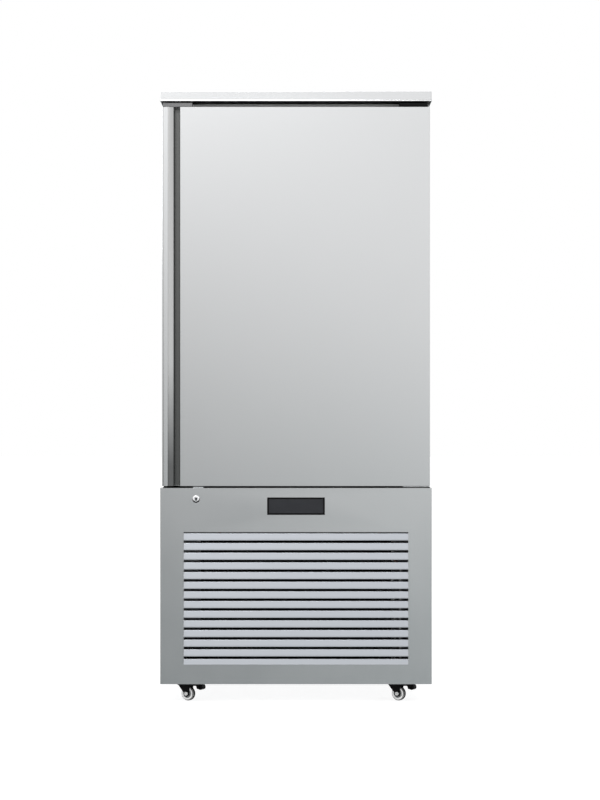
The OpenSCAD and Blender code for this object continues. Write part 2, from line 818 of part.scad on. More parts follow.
module evaporator_fan(i) color([0.3, 0.32, 0.34])
    on_fan_axis(fan_panel_y1 + fan_stand - fan_back_gap - fan_depth, evap_fan_z[i])
        impeller(evap_fan_d);

module evaporator_fan_lower() evaporator_fan(0);

module evaporator_fan_upper() evaporator_fan(1);

// Return bends of a coil: half rings that stand on the end plate at x
module return_bends(x, y0, y1, z0, z1) {
    count = floor((z1 - z0) / bend_pitch);
    for (i = [0 : count - 1]) translate([x, (y0 + y1) / 2, z0 + (i + 0.5) * bend_pitch])
        rotate([0, 90, 0]) rotate([90, 0, 0]) rotate_extrude(angle = 180)
            translate([bend_r, 0]) circle(r = tube_r);
}

// Upright fins on both sides of a sheet in the middle of the coil
module fin_pack(w, y0, y1, z0, z1) {
    count = floor((w - fin_t) / fin_pitch);
    translate([0, (y0 + y1) / 2, z0]) linear_extrude(z1 - z0) {
        square([w, fin_t], center = true);
        for (i = [0 : count]) translate([(i - count / 2) * fin_pitch, 0])
            square([fin_t, y1 - y0], center = true);
    }
}

module evaporator_coil() color([0.72, 0.74, 0.76]) {
    fin_pack(evap_w, evap_y0, evap_y1, evap_z0, evap_z1);
    both_sides() block([evap_w / 2, evap_y0, evap_z0 - coil_plate_past],
        [evap_w / 2 + coil_plate_t, cham_y1, evap_z1 + coil_plate_past]);
    return_bends(evap_w / 2 + coil_plate_t, evap_y0, evap_y1, evap_z0, evap_z1);
}

// ---------- Base ----------

module base_pan() color("silver") {
    block([-inner_x, cham_y0, base_z], [inner_x, back_y - sheet, base_top]);
    block([sheet - top_x, front_y + sheet, base_z], [top_x - sheet, frame_y, base_top]);
    block([-inner_x, frame_y, base_z], [inner_x, cham_y0, base_top]);
    both_sides() block([inner_x - base_t, cham_y0, base_top],
        [inner_x, back_y - sheet, base_top + base_flange]);
    block([base_t - inner_x, back_y - sheet - base_t, base_top],
        [inner_x - base_t, back_y - sheet, base_top + base_flange]);
}

// ---------- Lower front panel ----------

module front_panel() color("silver") difference() {
    union() {
        block([-top_x, front_y, panel_z0], [top_x, front_y + sheet, panel_z1]);
        both_sides() block([top_x - sheet, front_y, panel_z0], [top_x, cham_y0, panel_z1]);
        both_sides() block([top_x - panel_flange, frame_y, base_top],
            [top_x, cham_y0, panel_z1]);
        block([-top_x, front_y, panel_z1 - sheet], [top_x, cham_y0, panel_z1]);
        block([-top_x, front_y, panel_z0], [top_x, front_y + panel_foot, base_z]);
    }
    block([-louvre_w / 2, front_y - past, louvre_z0],
        [louvre_w / 2, front_y + sheet + past, louvre_z1]);
    display_block(display_lap - 1 - cutout_clear, front_y - past, front_y + sheet + past);
    rod_y(lock_x, lock_z, front_y - past, front_y + sheet + past,
        lock_barrel_r + cutout_clear);
    block([slot_x0, slot_y0, panel_z1 - 2 * sheet], [slot_x1, slot_y1, panel_z1 + past]);
}

// Two end carriers and two cross bars behind the opening
module louvre_frame() color("darkgray") {
    x0 = louvre_w / 2 + slat_tail;
    y0 = front_y + sheet;
    bar_t = 2;
    both_sides() block([x0 + seam, y0, louvre_z0 - carrier_w],
        [x0 + carrier_w, y0 + carrier_d, louvre_z1 + carrier_w]);
    block([-x0, y0, louvre_z1 + bar_t], [x0, y0 + carrier_d, louvre_z1 + carrier_w]);
    block([-x0, y0, louvre_z0 - carrier_w], [x0, y0 + carrier_d, louvre_z0 - carrier_w + bar_t]);
}

// Sloped blades, lower edge forward
module louvre_slats() color("gainsboro") for (i = [0 : slat_count - 1])
    translate([-louvre_w / 2 - slat_tail, slat_y0, slat_top_z - i * slat_pitch])
        rotate([90, 0, 90]) linear_extrude(louvre_w + 2 * slat_tail)
            polygon([[0, -slat_rise], [0, 4 - slat_rise], [slat_depth, 0],
                [slat_depth + slat_t, -slat_t], [slat_t, 3 - slat_rise], [slat_t, -slat_rise]]);

// A block as large as the display's bezel, less a margin all round
module display_block(shrink, y0, y1) block(
    [shrink - display_w / 2, y0, panel_z1 - display_drop - display_h / 2 + shrink],
    [display_w / 2 - shrink, y1, panel_z1 - display_drop + display_h / 2 - shrink]);

module control_bezel() color([0.03, 0.03, 0.03]) difference() {
    union() {
        display_block(0, front_y - display_proud, front_y);
        display_block(display_lap - 1, front_y - display_proud / 2, front_y + display_depth);
    }
    display_block(display_rim, front_y - 2 * display_proud, front_y + sheet);
    display_block(display_rim + display_lap, front_y, front_y + display_depth + past);
}

module control_window() color([0.1, 0.1, 0.11])
    display_block(display_rim, front_y - display_proud + window_recess, front_y + sheet);

module controller_unit() color([0.2, 0.2, 0.2])
    display_block(display_rim, front_y + display_depth, front_y + display_depth + controller_d);

// Bezel, barrel and fixing nut, bored for the plug
module lock_housing() color("lightgray") difference() {
    union() {
        rod_y(lock_x, lock_z, front_y - lock_proud, front_y, lock_bezel_r);
        rod_y(lock_x, lock_z, front_y - lock_proud / 2, front_y + lock_barrel_l, lock_barrel_r);
        rod_y(lock_x, lock_z, front_y + sheet, front_y + sheet + lock_nut_t,
            lock_barrel_r + lock_nut_t);
    }
    rod_y(lock_x, lock_z, front_y - 2 * lock_proud, front_y + lock_barrel_l + past,
        lock_plug_r + running_fit);
}

// Plug with a key slot, and the arm that turns up into the door's lower edge
module lock_cam() color([0.25, 0.25, 0.26]) {
    key_r = 2.4;
    key_up = 1.5;
    key_depth = 8;
    difference() {
        rod_y(lock_x, lock_z, front_y - lock_proud + lock_recess, lock_arm_y + lock_arm_t,
            lock_plug_r);
        rod_y(lock_x, lock_z + key_up, front_y - 2 * lock_proud, front_y + key_depth, key_r);
        block([lock_x - key_r / 2, front_y - 2 * lock_proud, lock_z - 3 * key_up],
            [lock_x + key_r / 2, front_y + key_depth, lock_z + key_up]);
    }
    difference() {
        block([lock_x - lock_arm_w / 2, lock_arm_y, lock_z - lock_arm_w / 2],
            [lock_x + lock_arm_r, lock_arm_y + lock_arm_t, lock_z + lock_arm_w / 2]);
        rod_y(lock_x, lock_z, lock_arm_y - past, lock_arm_y + lock_arm_t + past, lock_plug_r);
    }
}

// Plate round the lock's slot, open to the right
module lock_guide() color("lightgray") difference() {
    block([lock_x - guide_left, front_y + guide_setback, panel_z1],
        [lock_x + guide_right, slot_y1 + guide_tail, panel_z1 + guide_h]);
    block([slot_x0, slot_y0, panel_z1 - past], [slot_x1 + past, slot_y1, panel_z1 + guide_h + past]);
}

// ---------- Hinges ----------

module top_hinge() color([0.12, 0.12, 0.12]) {
    z0 = door_z1 + top_hinge_gap;
    block([hinge_x + top_hinge_end - top_hinge_l, front_y + hinge_setback, z0],
        [hinge_x + top_hinge_end, frame_y, z0 + top_hinge_t]);
    rod_z(hinge_x, hinge_y, door_z1 - pin_l, z0 + 1, hinge_pin_r);
}

module bottom_hinge() color("lightgray") {
    block([body_x - bottom_hinge_l, front_y + bottom_setback, panel_z1],
        [body_x, frame_y, panel_z1 + bottom_hinge_t]);
    rod_z(hinge_x, hinge_y, panel_z1 + bottom_hinge_t - 1, door_z0 + pin_l, hinge_pin_r);
}

module hinge_blank_plate() color([0.5, 0.5, 0.5])
    block([blank_inset - body_x, front_y + hinge_setback, door_z1 + blank_gap],
        [blank_inset - body_x + blank_l, frame_y, door_z1 + top_hinge_gap + top_hinge_t]);

// ---------- Door ----------

// Space of a hinge bush in the door, from its edge inwards
module bush_space(r) {
    rod_z(hinge_x, hinge_y, door_z0 - past, door_z0 + bush_l, r);
    rod_z(hinge_x, hinge_y, door_z1 - bush_l, door_z1 + past, r);
}

// Space in the door's lower edge that the lock's arm turns into
module keeper_space(h)
    block([slot_x0, slot_y0, door_z0 - past], [keeper_x1, slot_y1, door_z0 + h]);

module door_skin() color("silver") difference() {
    block([skin_x0, front_y, door_z0], [body_x, door_back_y, door_z1]);
    block([skin_x0 + sheet, front_y + sheet, door_z0 + sheet],
        [inner_x, door_back_y + past, door_z1 - sheet]);
    bush_space(bush_r + cutout_clear);
    keeper_space(keeper_h);
}

module door_insulation() color("khaki") difference() {
    block([skin_x0 + sheet, front_y + sheet, door_z0 + sheet],
        [inner_x, door_back_y - sheet, door_z1 - sheet]);
    bush_space(bush_r);
    keeper_space(keeper_h);
}

module door_liner() color("gainsboro")
    block([skin_x0 + sheet, door_back_y - sheet, door_z0 + sheet],
        [inner_x, door_back_y, door_z1 - sheet]);

// Four sealing strips, edge to edge
module door_gasket() color([0.35, 0.35, 0.36]) {
    x1 = gasket_in + gasket_w;
    y1 = frame_y - gasket_clear;
    both_sides() block([gasket_in, door_back_y, gasket_z0 + gasket_w + seam],
        [x1, y1, gasket_z1 - gasket_w - seam]);
    block([-x1, door_back_y, gasket_z0], [x1, y1, gasket_z0 + gasket_w]);
    block([-x1, door_back_y, gasket_z1 - gasket_w], [x1, y1, gasket_z1]);
}

// Section of the handle: outer wall, curved lip, grip, and a closed chamber behind the grip
module handle_section() {
    corner = [handle_corner - body_x, front_y + handle_corner];
    lip_a = asin(lip_curve_w / lip_r);
    crown = [lip_x - hem_r - (lip_r - hem_r) * sin(lip_a), front_y + lip_r];
    hem = crown + (lip_r - hem_r) * [sin(lip_a), -cos(lip_a)];
    difference() {
        polygon(concat(
            [[-body_x, door_back_y]],
            arc(corner, handle_corner, 180, 270),
            arc(crown, lip_r, 270, 270 + lip_a),
            arc(hem, hem_r, 280 + lip_a, 500 + lip_a),
            arc(crown, lip_r - handle_wall, 264 + lip_a, 270),
            arc(corner, handle_corner - handle_wall, 270, 180),
            [[handle_wall - body_x, grip_y], [skin_x0 - handle_wall, grip_y],
                [skin_x0 - handle_wall, front_y], [skin_x0, front_y], [skin_x0, door_back_y]]));
        translate([handle_wall - body_x, grip_y + handle_wall])
            square([handle_w - 2 * handle_wall, door_back_y - grip_y - 2 * handle_wall]);
    }
}

module door_handle() color("silver") translate([0, 0, door_z0])
    linear_extrude(door_z1 - door_z0) handle_section();

// Two flanged bushes, bored for the pins
module hinge_bushes() color([0.15, 0.15, 0.15]) {
    for (end = [0, 1])
        translate([hinge_x, hinge_y, end == 0 ? door_z0 : door_z1]) mirror([0, 0, end])
            difference() {
                union() {
                    cylinder(h = bush_l, r = bush_r);
                    translate([0, 0, -bush_flange_t]) cylinder(h = bush_flange_t, r = bush_r + 3);
                }
                translate([0, 0, -past - bush_flange_t])
                    cylinder(h = bush_l + bush_flange_t + 2 * past, r = hinge_pin_r + running_fit);
            }
}

// ---------- Machine compartment ----------

module condenser_coil() color([0.08, 0.08, 0.09]) {
    fin_pack(cond_w, cond_y0, cond_y1, cond_z0, cond_z1);
    both_sides() block([cond_w / 2, cond_y0, base_top],
        [cond_w / 2 + coil_plate_t, cond_y1, cond_z1 + coil_plate_past]);
    return_bends(cond_w / 2 + coil_plate_t, cond_y0, cond_y1, cond_z0, cond_z1);
}

// Hood from the condenser's back face to the fan plate
module condenser_shroud() color([0.3, 0.3, 0.3]) difference() {
    block([-cond_w / 2, cond_y1, cond_z0], [cond_w / 2, shroud_y1, cond_z1]);
    block([sheet - cond_w / 2, cond_y1 - past, cond_z0 + sheet],
        [cond_w / 2 - sheet, shroud_y1 - sheet, cond_z1 - sheet]);
    rod_y(0, cond_fan_z, shroud_y1 - 2 * sheet, shroud_y1 + past, shroud_hole_d / 2);
}

module condenser_fan_motor() color([0.2, 0.2, 0.2])
    on_fan_axis(shroud_y1, cond_fan_z) fan_motor(cond_fan_d / 2 + post_gap);

module condenser_fan() color([0.3, 0.32, 0.34])
    on_fan_axis(shroud_y1 + fan_stand - fan_back_gap - fan_depth, cond_fan_z)
        impeller(cond_fan_d);

// Rubber feet, foot plate, shell and domed top
module compressor() color([0.06, 0.06, 0.06]) {
    foot_r = 14;
    foot = comp_r - foot_r - 1;
    dome_h = 35;
    for (x = [-foot, foot], y = [-foot, foot])
        rod_z(comp_x + x, comp_y + y, base_top, comp_z0, foot_r);
    translate([comp_x, comp_y, comp_z0]) {
        translate([0, 0, comp_plate_t / 2])
            cube([2 * comp_r, 2 * comp_r, comp_plate_t], center = true);
        difference() {
            union() {
                translate([0, 0, comp_plate_t]) cylinder(h = comp_h - dome_h, r = comp_r);
                translate([0, 0, comp_plate_t + comp_h - dome_h])
                    cylinder(h = dome_h, r1 = comp_r, r2 = comp_r - dome_h + 5);
            }
            cylinder(h = comp_plate_t + comp_h - dome_h, r = comp_r - comp_wall);
        }
    }
}

// A pipe through points, with slightly fuller elbows
module pipe(points) {
    for (i = [1 : len(points) - 1]) {
        run = points[i] - points[i - 1];
        translate(points[i - 1]) rotate([0, acos(run[2] / norm(run)), atan2(run[1], run[0])])
            cylinder(h = norm(run), r = pipe_r);
    }
    for (i = [1 : 1 : len(points) - 2]) translate(points[i]) sphere(r = pipe_r + 0.6);
}

// Discharge, liquid and suction lines, and the receiver on its foot
module refrigerant_pipes() color([0.72, 0.45, 0.3]) {
    header_x = cond_w / 2 + header_gap;
    over_z = comp_top_z + pipe_rise;
    suction_z = over_z + suction_rise;
    outlet = [comp_x + 30, comp_y - 30];
    inlet = [comp_x - 30, comp_y + 20];
    cond_in = [cond_w / 2 + coil_plate_t, cond_y0 + 20, cond_z0 + 20];
    pipe([[outlet[0], outlet[1], comp_top_z], [outlet[0], outlet[1], over_z],
        [header_x, outlet[1], over_z], [header_x, cond_in[1], over_z],
        [header_x, cond_in[1], cond_in[2]], cond_in]);
    pipe([[suction_x, port_y, evap_z0], [suction_x, port_y, suction_z],
        [inlet[0], port_y, suction_z], [inlet[0], inlet[1], suction_z],
        [inlet[0], inlet[1], comp_top_z]]);
    difference() {
        rod_z(receiver_x, receiver_y, base_top, base_top + receiver_h, receiver_r);
        rod_z(receiver_x, receiver_y, base_top - past, base_top + receiver_h - receiver_wall,
            receiver_r - receiver_wall);
    }
    pipe([[receiver_x, receiver_y, base_top + receiver_h], [receiver_x, receiver_y, over_z],
        [receiver_x, port_y, over_z], [liquid_x, port_y, over_z],
        [liquid_x, port_y, evap_z0]]);
}

// Box on the left side panel, open towards it
module electrical_box() color("gainsboro") difference() {
    z1 = panel_z1 - ebox_drop;
    y1 = back_y - ebox_back;
    block([-inner_x, y1 - ebox_l, z1 - ebox_h], [ebox_w - inner_x, y1, z1]);
    block([-body_x, y1 - ebox_l + sheet, z1 - ebox_h + sheet],
        [ebox_w - inner_x - sheet, y1 - sheet, z1 - sheet]);
}

module condensate_tray() color([0.15, 0.15, 0.15]) difference() {
    low = [drain_x - tray_left, drain_y - tray_front, base_top];
    high = [drain_x + tray_right, back_y - sheet - base_t - tray_gap, base_top + tray_h];
    block(low, high);
    block(low + tray_wall * [1, 1, 1], high + [-tray_wall, -tray_wall, past]);
}

// ---------- Castors ----------

// Places a castor part; the wheel trails on local -x
module at_castor(x, y) translate([x, y, 0]) rotate([0, 0, -castor_yaw]) children();

// Top plate and ball race, bored for the kingpin
module castor_plate() difference() {
    union() {
        translate([0, 0, race_z1 + castor_plate_t / 2])
            cube([castor_plate_w, castor_plate_w, castor_plate_t], center = true);
        rod_z(0, 0, race_z0, race_z1 + 0.5, race_r);
    }
    rod_z(0, 0, race_z0 - past, base_z + past, kingpin_r + running_fit);
}

module castor_plates() color([0.1, 0.1, 0.1])
    for (x = [-castor_x, castor_x], y = [castor_y0, castor_y1])
        translate([x, y, 0]) castor_plate();

// Outline of a fork's leg: swept back from the crown to the axle, with an ear for the pedal
module leg_outline(with_ear) difference() {
    union() {
        polygon([[-crown_left, crown_z1], [-crown_left, crown_z0 + 1], [-trail - 9, axle_z + 2],
            [-trail - 8.6, axle_z - 2.6], [-trail + 8.6, axle_z - 2.6],
            [-trail + 9.4, crown_z0 - 3], [-trail + 14, crown_z1]]);
        translate([-trail, axle_z]) circle(r = 9);
        if (with_ear) polygon([[pedal_u - 8, crown_z1], [pedal_u - 4.5, pedal_z - 3],
            [pedal_u - 2, pedal_z - 4.5], [pedal_u + 2, pedal_z - 4.5],
            [pedal_u + 4, pedal_z - 3], [pedal_u + 4, crown_z1]]);
    }
    translate([-trail, axle_z]) circle(r = axle_r + 0.1);
    if (with_ear) translate([pedal_u, pedal_z]) circle(r = pedal_pin_r + 0.1);
}

// Bolt across the fork with a head at each end
module cross_bolt(u, z, r, head_r, head_h) {
    rod_y(u, z, -leg_out - head_h / 2, leg_out + head_h / 2, r);
    for (side = [0, 1]) mirror([0, side, 0]) rod_y(u, z, leg_out, leg_out + head_h, head_r);
}

// Folded fork with its kingpin, its axle bolt and, where braked, the pedal's pin
module castor_fork(with_ear) color([0.08, 0.08, 0.08]) {
    block([-crown_left, -leg_out, crown_z0],
        [with_ear ? crown_right : crown_right - 12, leg_out, crown_z1]);
    rod_z(0, 0, crown_z0, crown_z1, crown_r);
    for (side = [-1, 1]) translate([0, side * (leg_in + leg_t / 2), 0]) difference() {
        slab_xz(leg_t) leg_outline(with_ear);
        block([-100, -leg_t, crown_z0], [100, leg_t, crown_z1 + past]);
    }
    rod_z(0, 0, crown_z1, base_z - 0.6, kingpin_r);
    cross_bolt(-trail, axle_z, axle_r, bolt_head_r, bolt_head_h);
    if (with_ear) cross_bolt(pedal_u, pedal_z, pedal_pin_r, 3.6, 1);
}

// Hub with a recess on each face, and the tyre round it
module castor_wheel() {
    translate([-trail, 0, axle_z]) rotate([90, 0, 0]) {
        color([0.75, 0.75, 0.74]) difference() {
            cylinder(h = wheel_w - 2, r = wheel_d / 2 - tyre_t, center = true);
            for (side = [-1, 1]) translate([0, 0, side * (wheel_w / 2 - 1)]) difference() {
                cylinder(h = 6, r = wheel_d / 2 - tyre_t - 3.5, center = true);
                cylinder(h = 7, r = axle_r + 3, center = true);
            }
            cylinder(h = wheel_w + past, r = axle_r + running_fit, center = true);
        }
        color([0.05, 0.05, 0.05]) difference() {
            cylinder(h = wheel_w, r = wheel_d / 2, center = true);
            cylinder(h = wheel_w + past, r = wheel_d / 2 - tyre_t + seam, center = true);
        }
    }
}

// Lever with a drooping tread, which turns on the pin between the fork's ears
module brake_pedal() color([0.05, 0.05, 0.05]) slab_xz(2 * leg_in - 1) difference() {
    union() {
        translate([pedal_u, pedal_z]) circle(r = pedal_boss_r);
        translate([pedal_u, pedal_z]) polygon([[-1.5, -3.8], [1, -5.6], [5, -6.8], [9.5, -6],
            [12.6, -3.4], [13.6, 0], [13, 5], [11, 7.8], [7.5, 8.8], [5, 8.2], [5, 3.9], [1, 3.9]]);
    }
    translate([pedal_u, pedal_z]) circle(r = pedal_pin_r + running_fit);
}

module castor_fork_fl() at_castor(-castor_x, castor_y0) castor_fork(true);

module castor_fork_fr() at_castor(castor_x, castor_y0) castor_fork(true);

module castor_fork_rl() at_castor(-castor_x, castor_y1) castor_fork(false);

module castor_fork_rr() at_castor(castor_x, castor_y1) castor_fork(false);

module castor_wheel_fl() at_castor(-castor_x, castor_y0) castor_wheel();

module castor_wheel_fr() at_castor(castor_x, castor_y0) castor_wheel();

module castor_wheel_rl() at_castor(-castor_x, castor_y1) castor_wheel();

module castor_wheel_rr() at_castor(castor_x, castor_y1) castor_wheel();

module brake_pedal_fl() at_castor(-castor_x, castor_y0) brake_pedal();

module brake_pedal_fr() at_castor(castor_x, castor_y0) brake_pedal();

worktop();
worktop_core();
side_panel_left();
side_panel_right();
rear_panel();
rear_grille();
grille_screws();
cable_gland();
front_frame();
deck_panel();
wall_insulation();
chamber_liner();
floor_drain();
rack_uprights();
tray_runners();
fan_panel();
fan_guards();
evaporator_fan_motors();
evaporator_fan_lower();
evaporator_fan_upper();
evaporator_coil();
probe_socket();
base_pan();
front_panel();
louvre_frame();
louvre_slats();
control_bezel();
control_window();
controller_unit();
lock_housing();
lock_cam();
lock_guide();
top_hinge();
bottom_hinge();
hinge_blank_plate();
door_skin();
door_insulation();
door_liner();
door_gasket();
door_handle();
hinge_bushes();
condenser_coil();
condenser_shroud();
condenser_fan_motor();
condenser_fan();
compressor();
refrigerant_pipes();
electrical_box();
condensate_tray();
castor_plates();
castor_fork_fl();
castor_fork_fr();
castor_fork_rl();
castor_fork_rr();
castor_wheel_fl();
castor_wheel_fr();
castor_wheel_rl();
castor_wheel_rr();
brake_pedal_fl();
brake_pedal_fr();
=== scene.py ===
"""Looks of an upright stainless blast chiller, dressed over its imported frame.

Every size is in metres, and every place is worked out from the frame's own boxes.
"""

import json
import math

import bmesh
import bpy
from mathutils import Matrix, Vector

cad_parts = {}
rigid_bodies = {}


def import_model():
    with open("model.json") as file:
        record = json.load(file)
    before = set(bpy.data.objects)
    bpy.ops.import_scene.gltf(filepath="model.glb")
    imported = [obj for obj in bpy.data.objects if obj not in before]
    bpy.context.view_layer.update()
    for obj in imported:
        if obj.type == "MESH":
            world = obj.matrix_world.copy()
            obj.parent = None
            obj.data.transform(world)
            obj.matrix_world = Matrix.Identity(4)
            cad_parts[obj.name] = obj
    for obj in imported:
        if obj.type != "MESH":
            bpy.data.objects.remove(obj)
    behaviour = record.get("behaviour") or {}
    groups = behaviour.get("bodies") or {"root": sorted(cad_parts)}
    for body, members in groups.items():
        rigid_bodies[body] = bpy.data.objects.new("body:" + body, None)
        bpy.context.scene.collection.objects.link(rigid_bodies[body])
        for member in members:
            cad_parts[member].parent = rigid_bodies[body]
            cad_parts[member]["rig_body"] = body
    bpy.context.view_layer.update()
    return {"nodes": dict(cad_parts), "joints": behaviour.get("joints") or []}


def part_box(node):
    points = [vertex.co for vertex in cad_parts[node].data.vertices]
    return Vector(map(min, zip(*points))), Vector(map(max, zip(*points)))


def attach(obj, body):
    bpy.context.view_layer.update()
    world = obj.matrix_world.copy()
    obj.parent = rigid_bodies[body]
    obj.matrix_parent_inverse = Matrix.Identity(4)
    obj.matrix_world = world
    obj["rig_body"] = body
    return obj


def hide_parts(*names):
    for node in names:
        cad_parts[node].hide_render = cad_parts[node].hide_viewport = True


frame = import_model()

MM = 0.001
X, Y, Z = Vector((1, 0, 0)), Vector((0, 1, 0)), Vector((0, 0, 1))
SHEET = 1.2 * MM
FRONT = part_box("front_panel")[0].y
MERGED = MM / 1000  # points this close are one point
FLUSH = MM / 20  # places this close lie in one plane

# The photograph's frame, and the scale that its front plane has there
PHOTO_SIZE = (600, 800)
MM_PER_PIXEL = 2.9466
CABINET_MIDDLE_PX = 296
PANEL_FOOT_PX = 684.2
PANEL_FOOT = 56 * MM  # its height above the floor
CAMERA_DISTANCE = 7.0
SENSOR = 36.0


# ---------- Shader maths ----------


class Socket:
    """An output of a shader node, with the arithmetic that adds Math nodes."""

    def __init__(self, look, link):
        self.look = look
        self.link = link

    def __add__(self, other):
        return self.look.math("ADD", self, other)

    def __sub__(self, other):
        return self.look.math("SUBTRACT", self, other)

    def __rsub__(self, other):
        return self.look.math("SUBTRACT", other, self)

    def __mul__(self, other):
        return self.look.math("MULTIPLY", self, other)

    __radd__ = __add__
    __rmul__ = __mul__

    def output(self, name):
        """Another output of the same node."""
        return Socket(self.look, self.link.node.outputs[name])


class Look:
    """The node tree of a material or of the world."""

    def __init__(self, owner):
        owner.use_nodes = True
        self.owner = owner
        self.tree = owner.node_tree
        self.tree.nodes.clear()

    def node(self, kind, sockets=None, out=0, stops=None, **settings):
        """Adds a node: its settings first, then the values or links of its sockets."""
        made = self.tree.nodes.new("ShaderNode" + kind)
        for name, value in settings.items():
            setattr(made, name, value)
        if stops:
            ramp = made.color_ramp.elements
            while len(ramp) < len(stops):
                ramp.new(1)
            for element, (place, colour) in zip(ramp, stops):
                element.position = place
                element.color = (*colour, 1)
        for name, value in (sockets or {}).items():
            if isinstance(value, Socket):
                self.tree.links.new(value.link, made.inputs[name])
            else:
                made.inputs[name].default_value = value
        return Socket(self, made.outputs[out]) if made.outputs else None

    def math(self, operation, first, second):
        """One step of arithmetic on two values or links."""
        return self.node("Math", {0: first, 1: second}, operation=operation)

    def clamp(self, value, low, high):
        """A value kept between two limits."""
        return self.node("Clamp", {"Value": value, "Min": low, "Max": high})

    def place(self, scale=(1, 1, 1)):
        """The piece's own coordinates, scaled along each axis."""
        here = self.node("TexCoord", out="Object")
        return self.node("Mapping", {"Vector": here, "Scale": scale})

    def noise(self, scale, detail=2.0, rough=0.5):
        """Noise with so many grains per metre along each axis."""
        here = self.place(scale)
        sockets = {"Vector": here, "Scale": 1.0, "Detail": detail, "Roughness": rough}
        return self.node("TexNoise", sockets)

    def mix(self, factor, first, second):
        """A colour between two colours."""
        sockets = {0: factor, 6: first, 7: second}
        return self.node("Mix", sockets, out=2, data_type="RGBA")

    def bump(self, height, strength, distance=0.001):
        """A normal that follows a height."""
        return self.node("Bump", {"Height": height, "Strength": strength, "Distance": distance})

    def surface(self, **sockets):
        """Ends the tree in a principled shader. An underscore in a name stands for a space."""
        named = {name.replace("_", " "): value for name, value in sockets.items()}
        shader = self.node("BsdfPrincipled", named)
        self.node("OutputMaterial", {"Surface": shader})
        return self.owner


def tone(red, green, blue):
    """A colour given by display values from 0 to 255."""
    return tuple(((c / 255 + 0.055) / 1.055) ** 2.4 for c in (red, green, blue)) + (1.0,)


def shade(colour, factor):
    """A colour made darker or lighter."""
    return tuple(min(1.0, c * factor) for c in colour[:3]) + (1.0,)


def new_look(name):
    """The empty node tree of a new material."""
    return Look(bpy.data.materials.new(name))


# ---------- Finishes ----------


def brushed_steel(name, colour, rough, stretch, foot=None):
    """Sheet metal with fine lines drawn along one axis, and faint clouds from rolling.

    A foot is the heights between which the metal is painted darker downwards as painted shade, and
    by how much.
    """
    contrast, bump = 0.014, 0.05
    look = new_look(name)
    lines = look.noise(stretch, detail=2.0)
    clouds = look.noise((1.7, 1.7, 1.1), detail=1.0)
    wear = look.noise((9.0, 9.0, 7.0), detail=4.0, rough=0.6)
    mask = look.clamp(lines * 0.7 + clouds * 0.3, 0.0, 1.0)
    base = look.mix(mask, shade(colour, 1 - contrast), shade(colour, 1 + contrast))
    if foot:
        low, high, factor = foot
        height = look.node("SeparateXYZ", {"Vector": look.place()}, out="Z")
        share = look.clamp((height - low) * (1 / (high - low)), 0.0, 1.0)
        base = look.mix(share, shade(colour, factor), base)
    roughness = (lines - 0.5) * 0.05 + (wear - 0.5) * 0.04 + rough
    normal = look.bump(lines, bump, distance=0.0001)
    return look.surface(Base_Color=base, Metallic=1.0, Roughness=roughness, Normal=normal)


def galvanised_sheet(name):
    """Zinc-coated sheet with its spangle."""
    look = new_look(name)
    cells = look.node("TexVoronoi", {"Vector": look.place((90, 90, 90)), "Scale": 1.0}, out="Color")
    grain = look.node("SeparateColor", {"Color": cells})
    base = look.mix(grain, tone(190, 192, 194), tone(206, 208, 210))
    roughness = grain * 0.08 + 0.36
    normal = look.bump(look.noise((300, 300, 300)), 0.03)
    return look.surface(Base_Color=base, Metallic=0.9, Roughness=roughness, Normal=normal)


def cast_metal(name, colour, rough, metallic=1.0, bump=0.03):
    """Plain metal with a fine even grain."""
    grain, contrast = 500, 0.05
    look = new_look(name)
    fine = look.noise((grain, grain, grain), detail=2.0)
    broad = look.noise((14, 14, 14), detail=3.0)
    base = look.mix(broad, shade(colour, 1 - contrast), shade(colour, 1 + contrast))
    roughness = (fine - 0.5) * 0.1 + (broad - 0.5) * 0.08 + rough
    normal = look.bump(fine, bump)
    return look.surface(Base_Color=base, Metallic=metallic, Roughness=roughness, Normal=normal)


def moulded_plastic(name, colour, rough, bump=0.06, gloss=0.3):
    """Moulded plastic or paint with a fine orange peel."""
    grain = 900
    look = new_look(name)
    fine = look.noise((grain, grain, grain), detail=2.0)
    broad = look.noise((25, 25, 25), detail=3.0)
    base = look.mix(broad, shade(colour, 0.9), shade(colour, 1.1))
    roughness = (broad - 0.5) * 0.12 + rough
    normal = look.bump(fine, bump)
    return look.surface(
        Base_Color=base, Metallic=0.0, Roughness=roughness, Specular_IOR_Level=gloss, Normal=normal
    )


def worn_rubber(name, colour):
    """Matt rubber with dust in its pores."""
    look = new_look(name)
    dust = look.noise((60, 60, 60), detail=5.0, rough=0.65)
    dusty = look.clamp((dust - 0.5) * 2.0, 0.0, 1.0)
    base = look.mix(dusty, colour, shade(colour, 1.8))
    normal = look.bump(look.noise((1400, 1400, 1400)), 0.15)
    return look.surface(Base_Color=base, Roughness=dusty * 0.1 + 0.72, Normal=normal)


def foam_core(name):
    """Rigid foam: pale, with open pores where it is cut."""
    look = new_look(name)
    pores = look.node("TexVoronoi", {"Vector": look.place((900, 900, 900)), "Scale": 1.0})
    clouds = look.noise((20, 20, 20), detail=3.0)
    base = look.mix(clouds, tone(226, 208, 160), tone(240, 228, 190))
    return look.surface(Base_Color=base, Roughness=0.9, Normal=look.bump(pores, 0.5))


def laminated_board(name):
    """Board with a faint hammered face, near black as painted shade under the worktop's overhang.
    """
    look = new_look(name)
    fine = look.noise((700, 700, 700), detail=3.0)
    base = look.mix(fine, tone(6, 6, 7), tone(14, 14, 15))
    return look.surface(
        Base_Color=base, Roughness=fine * 0.15 + 0.6, Specular_IOR_Level=0.2,
        Normal=look.bump(fine, 0.1),
    )


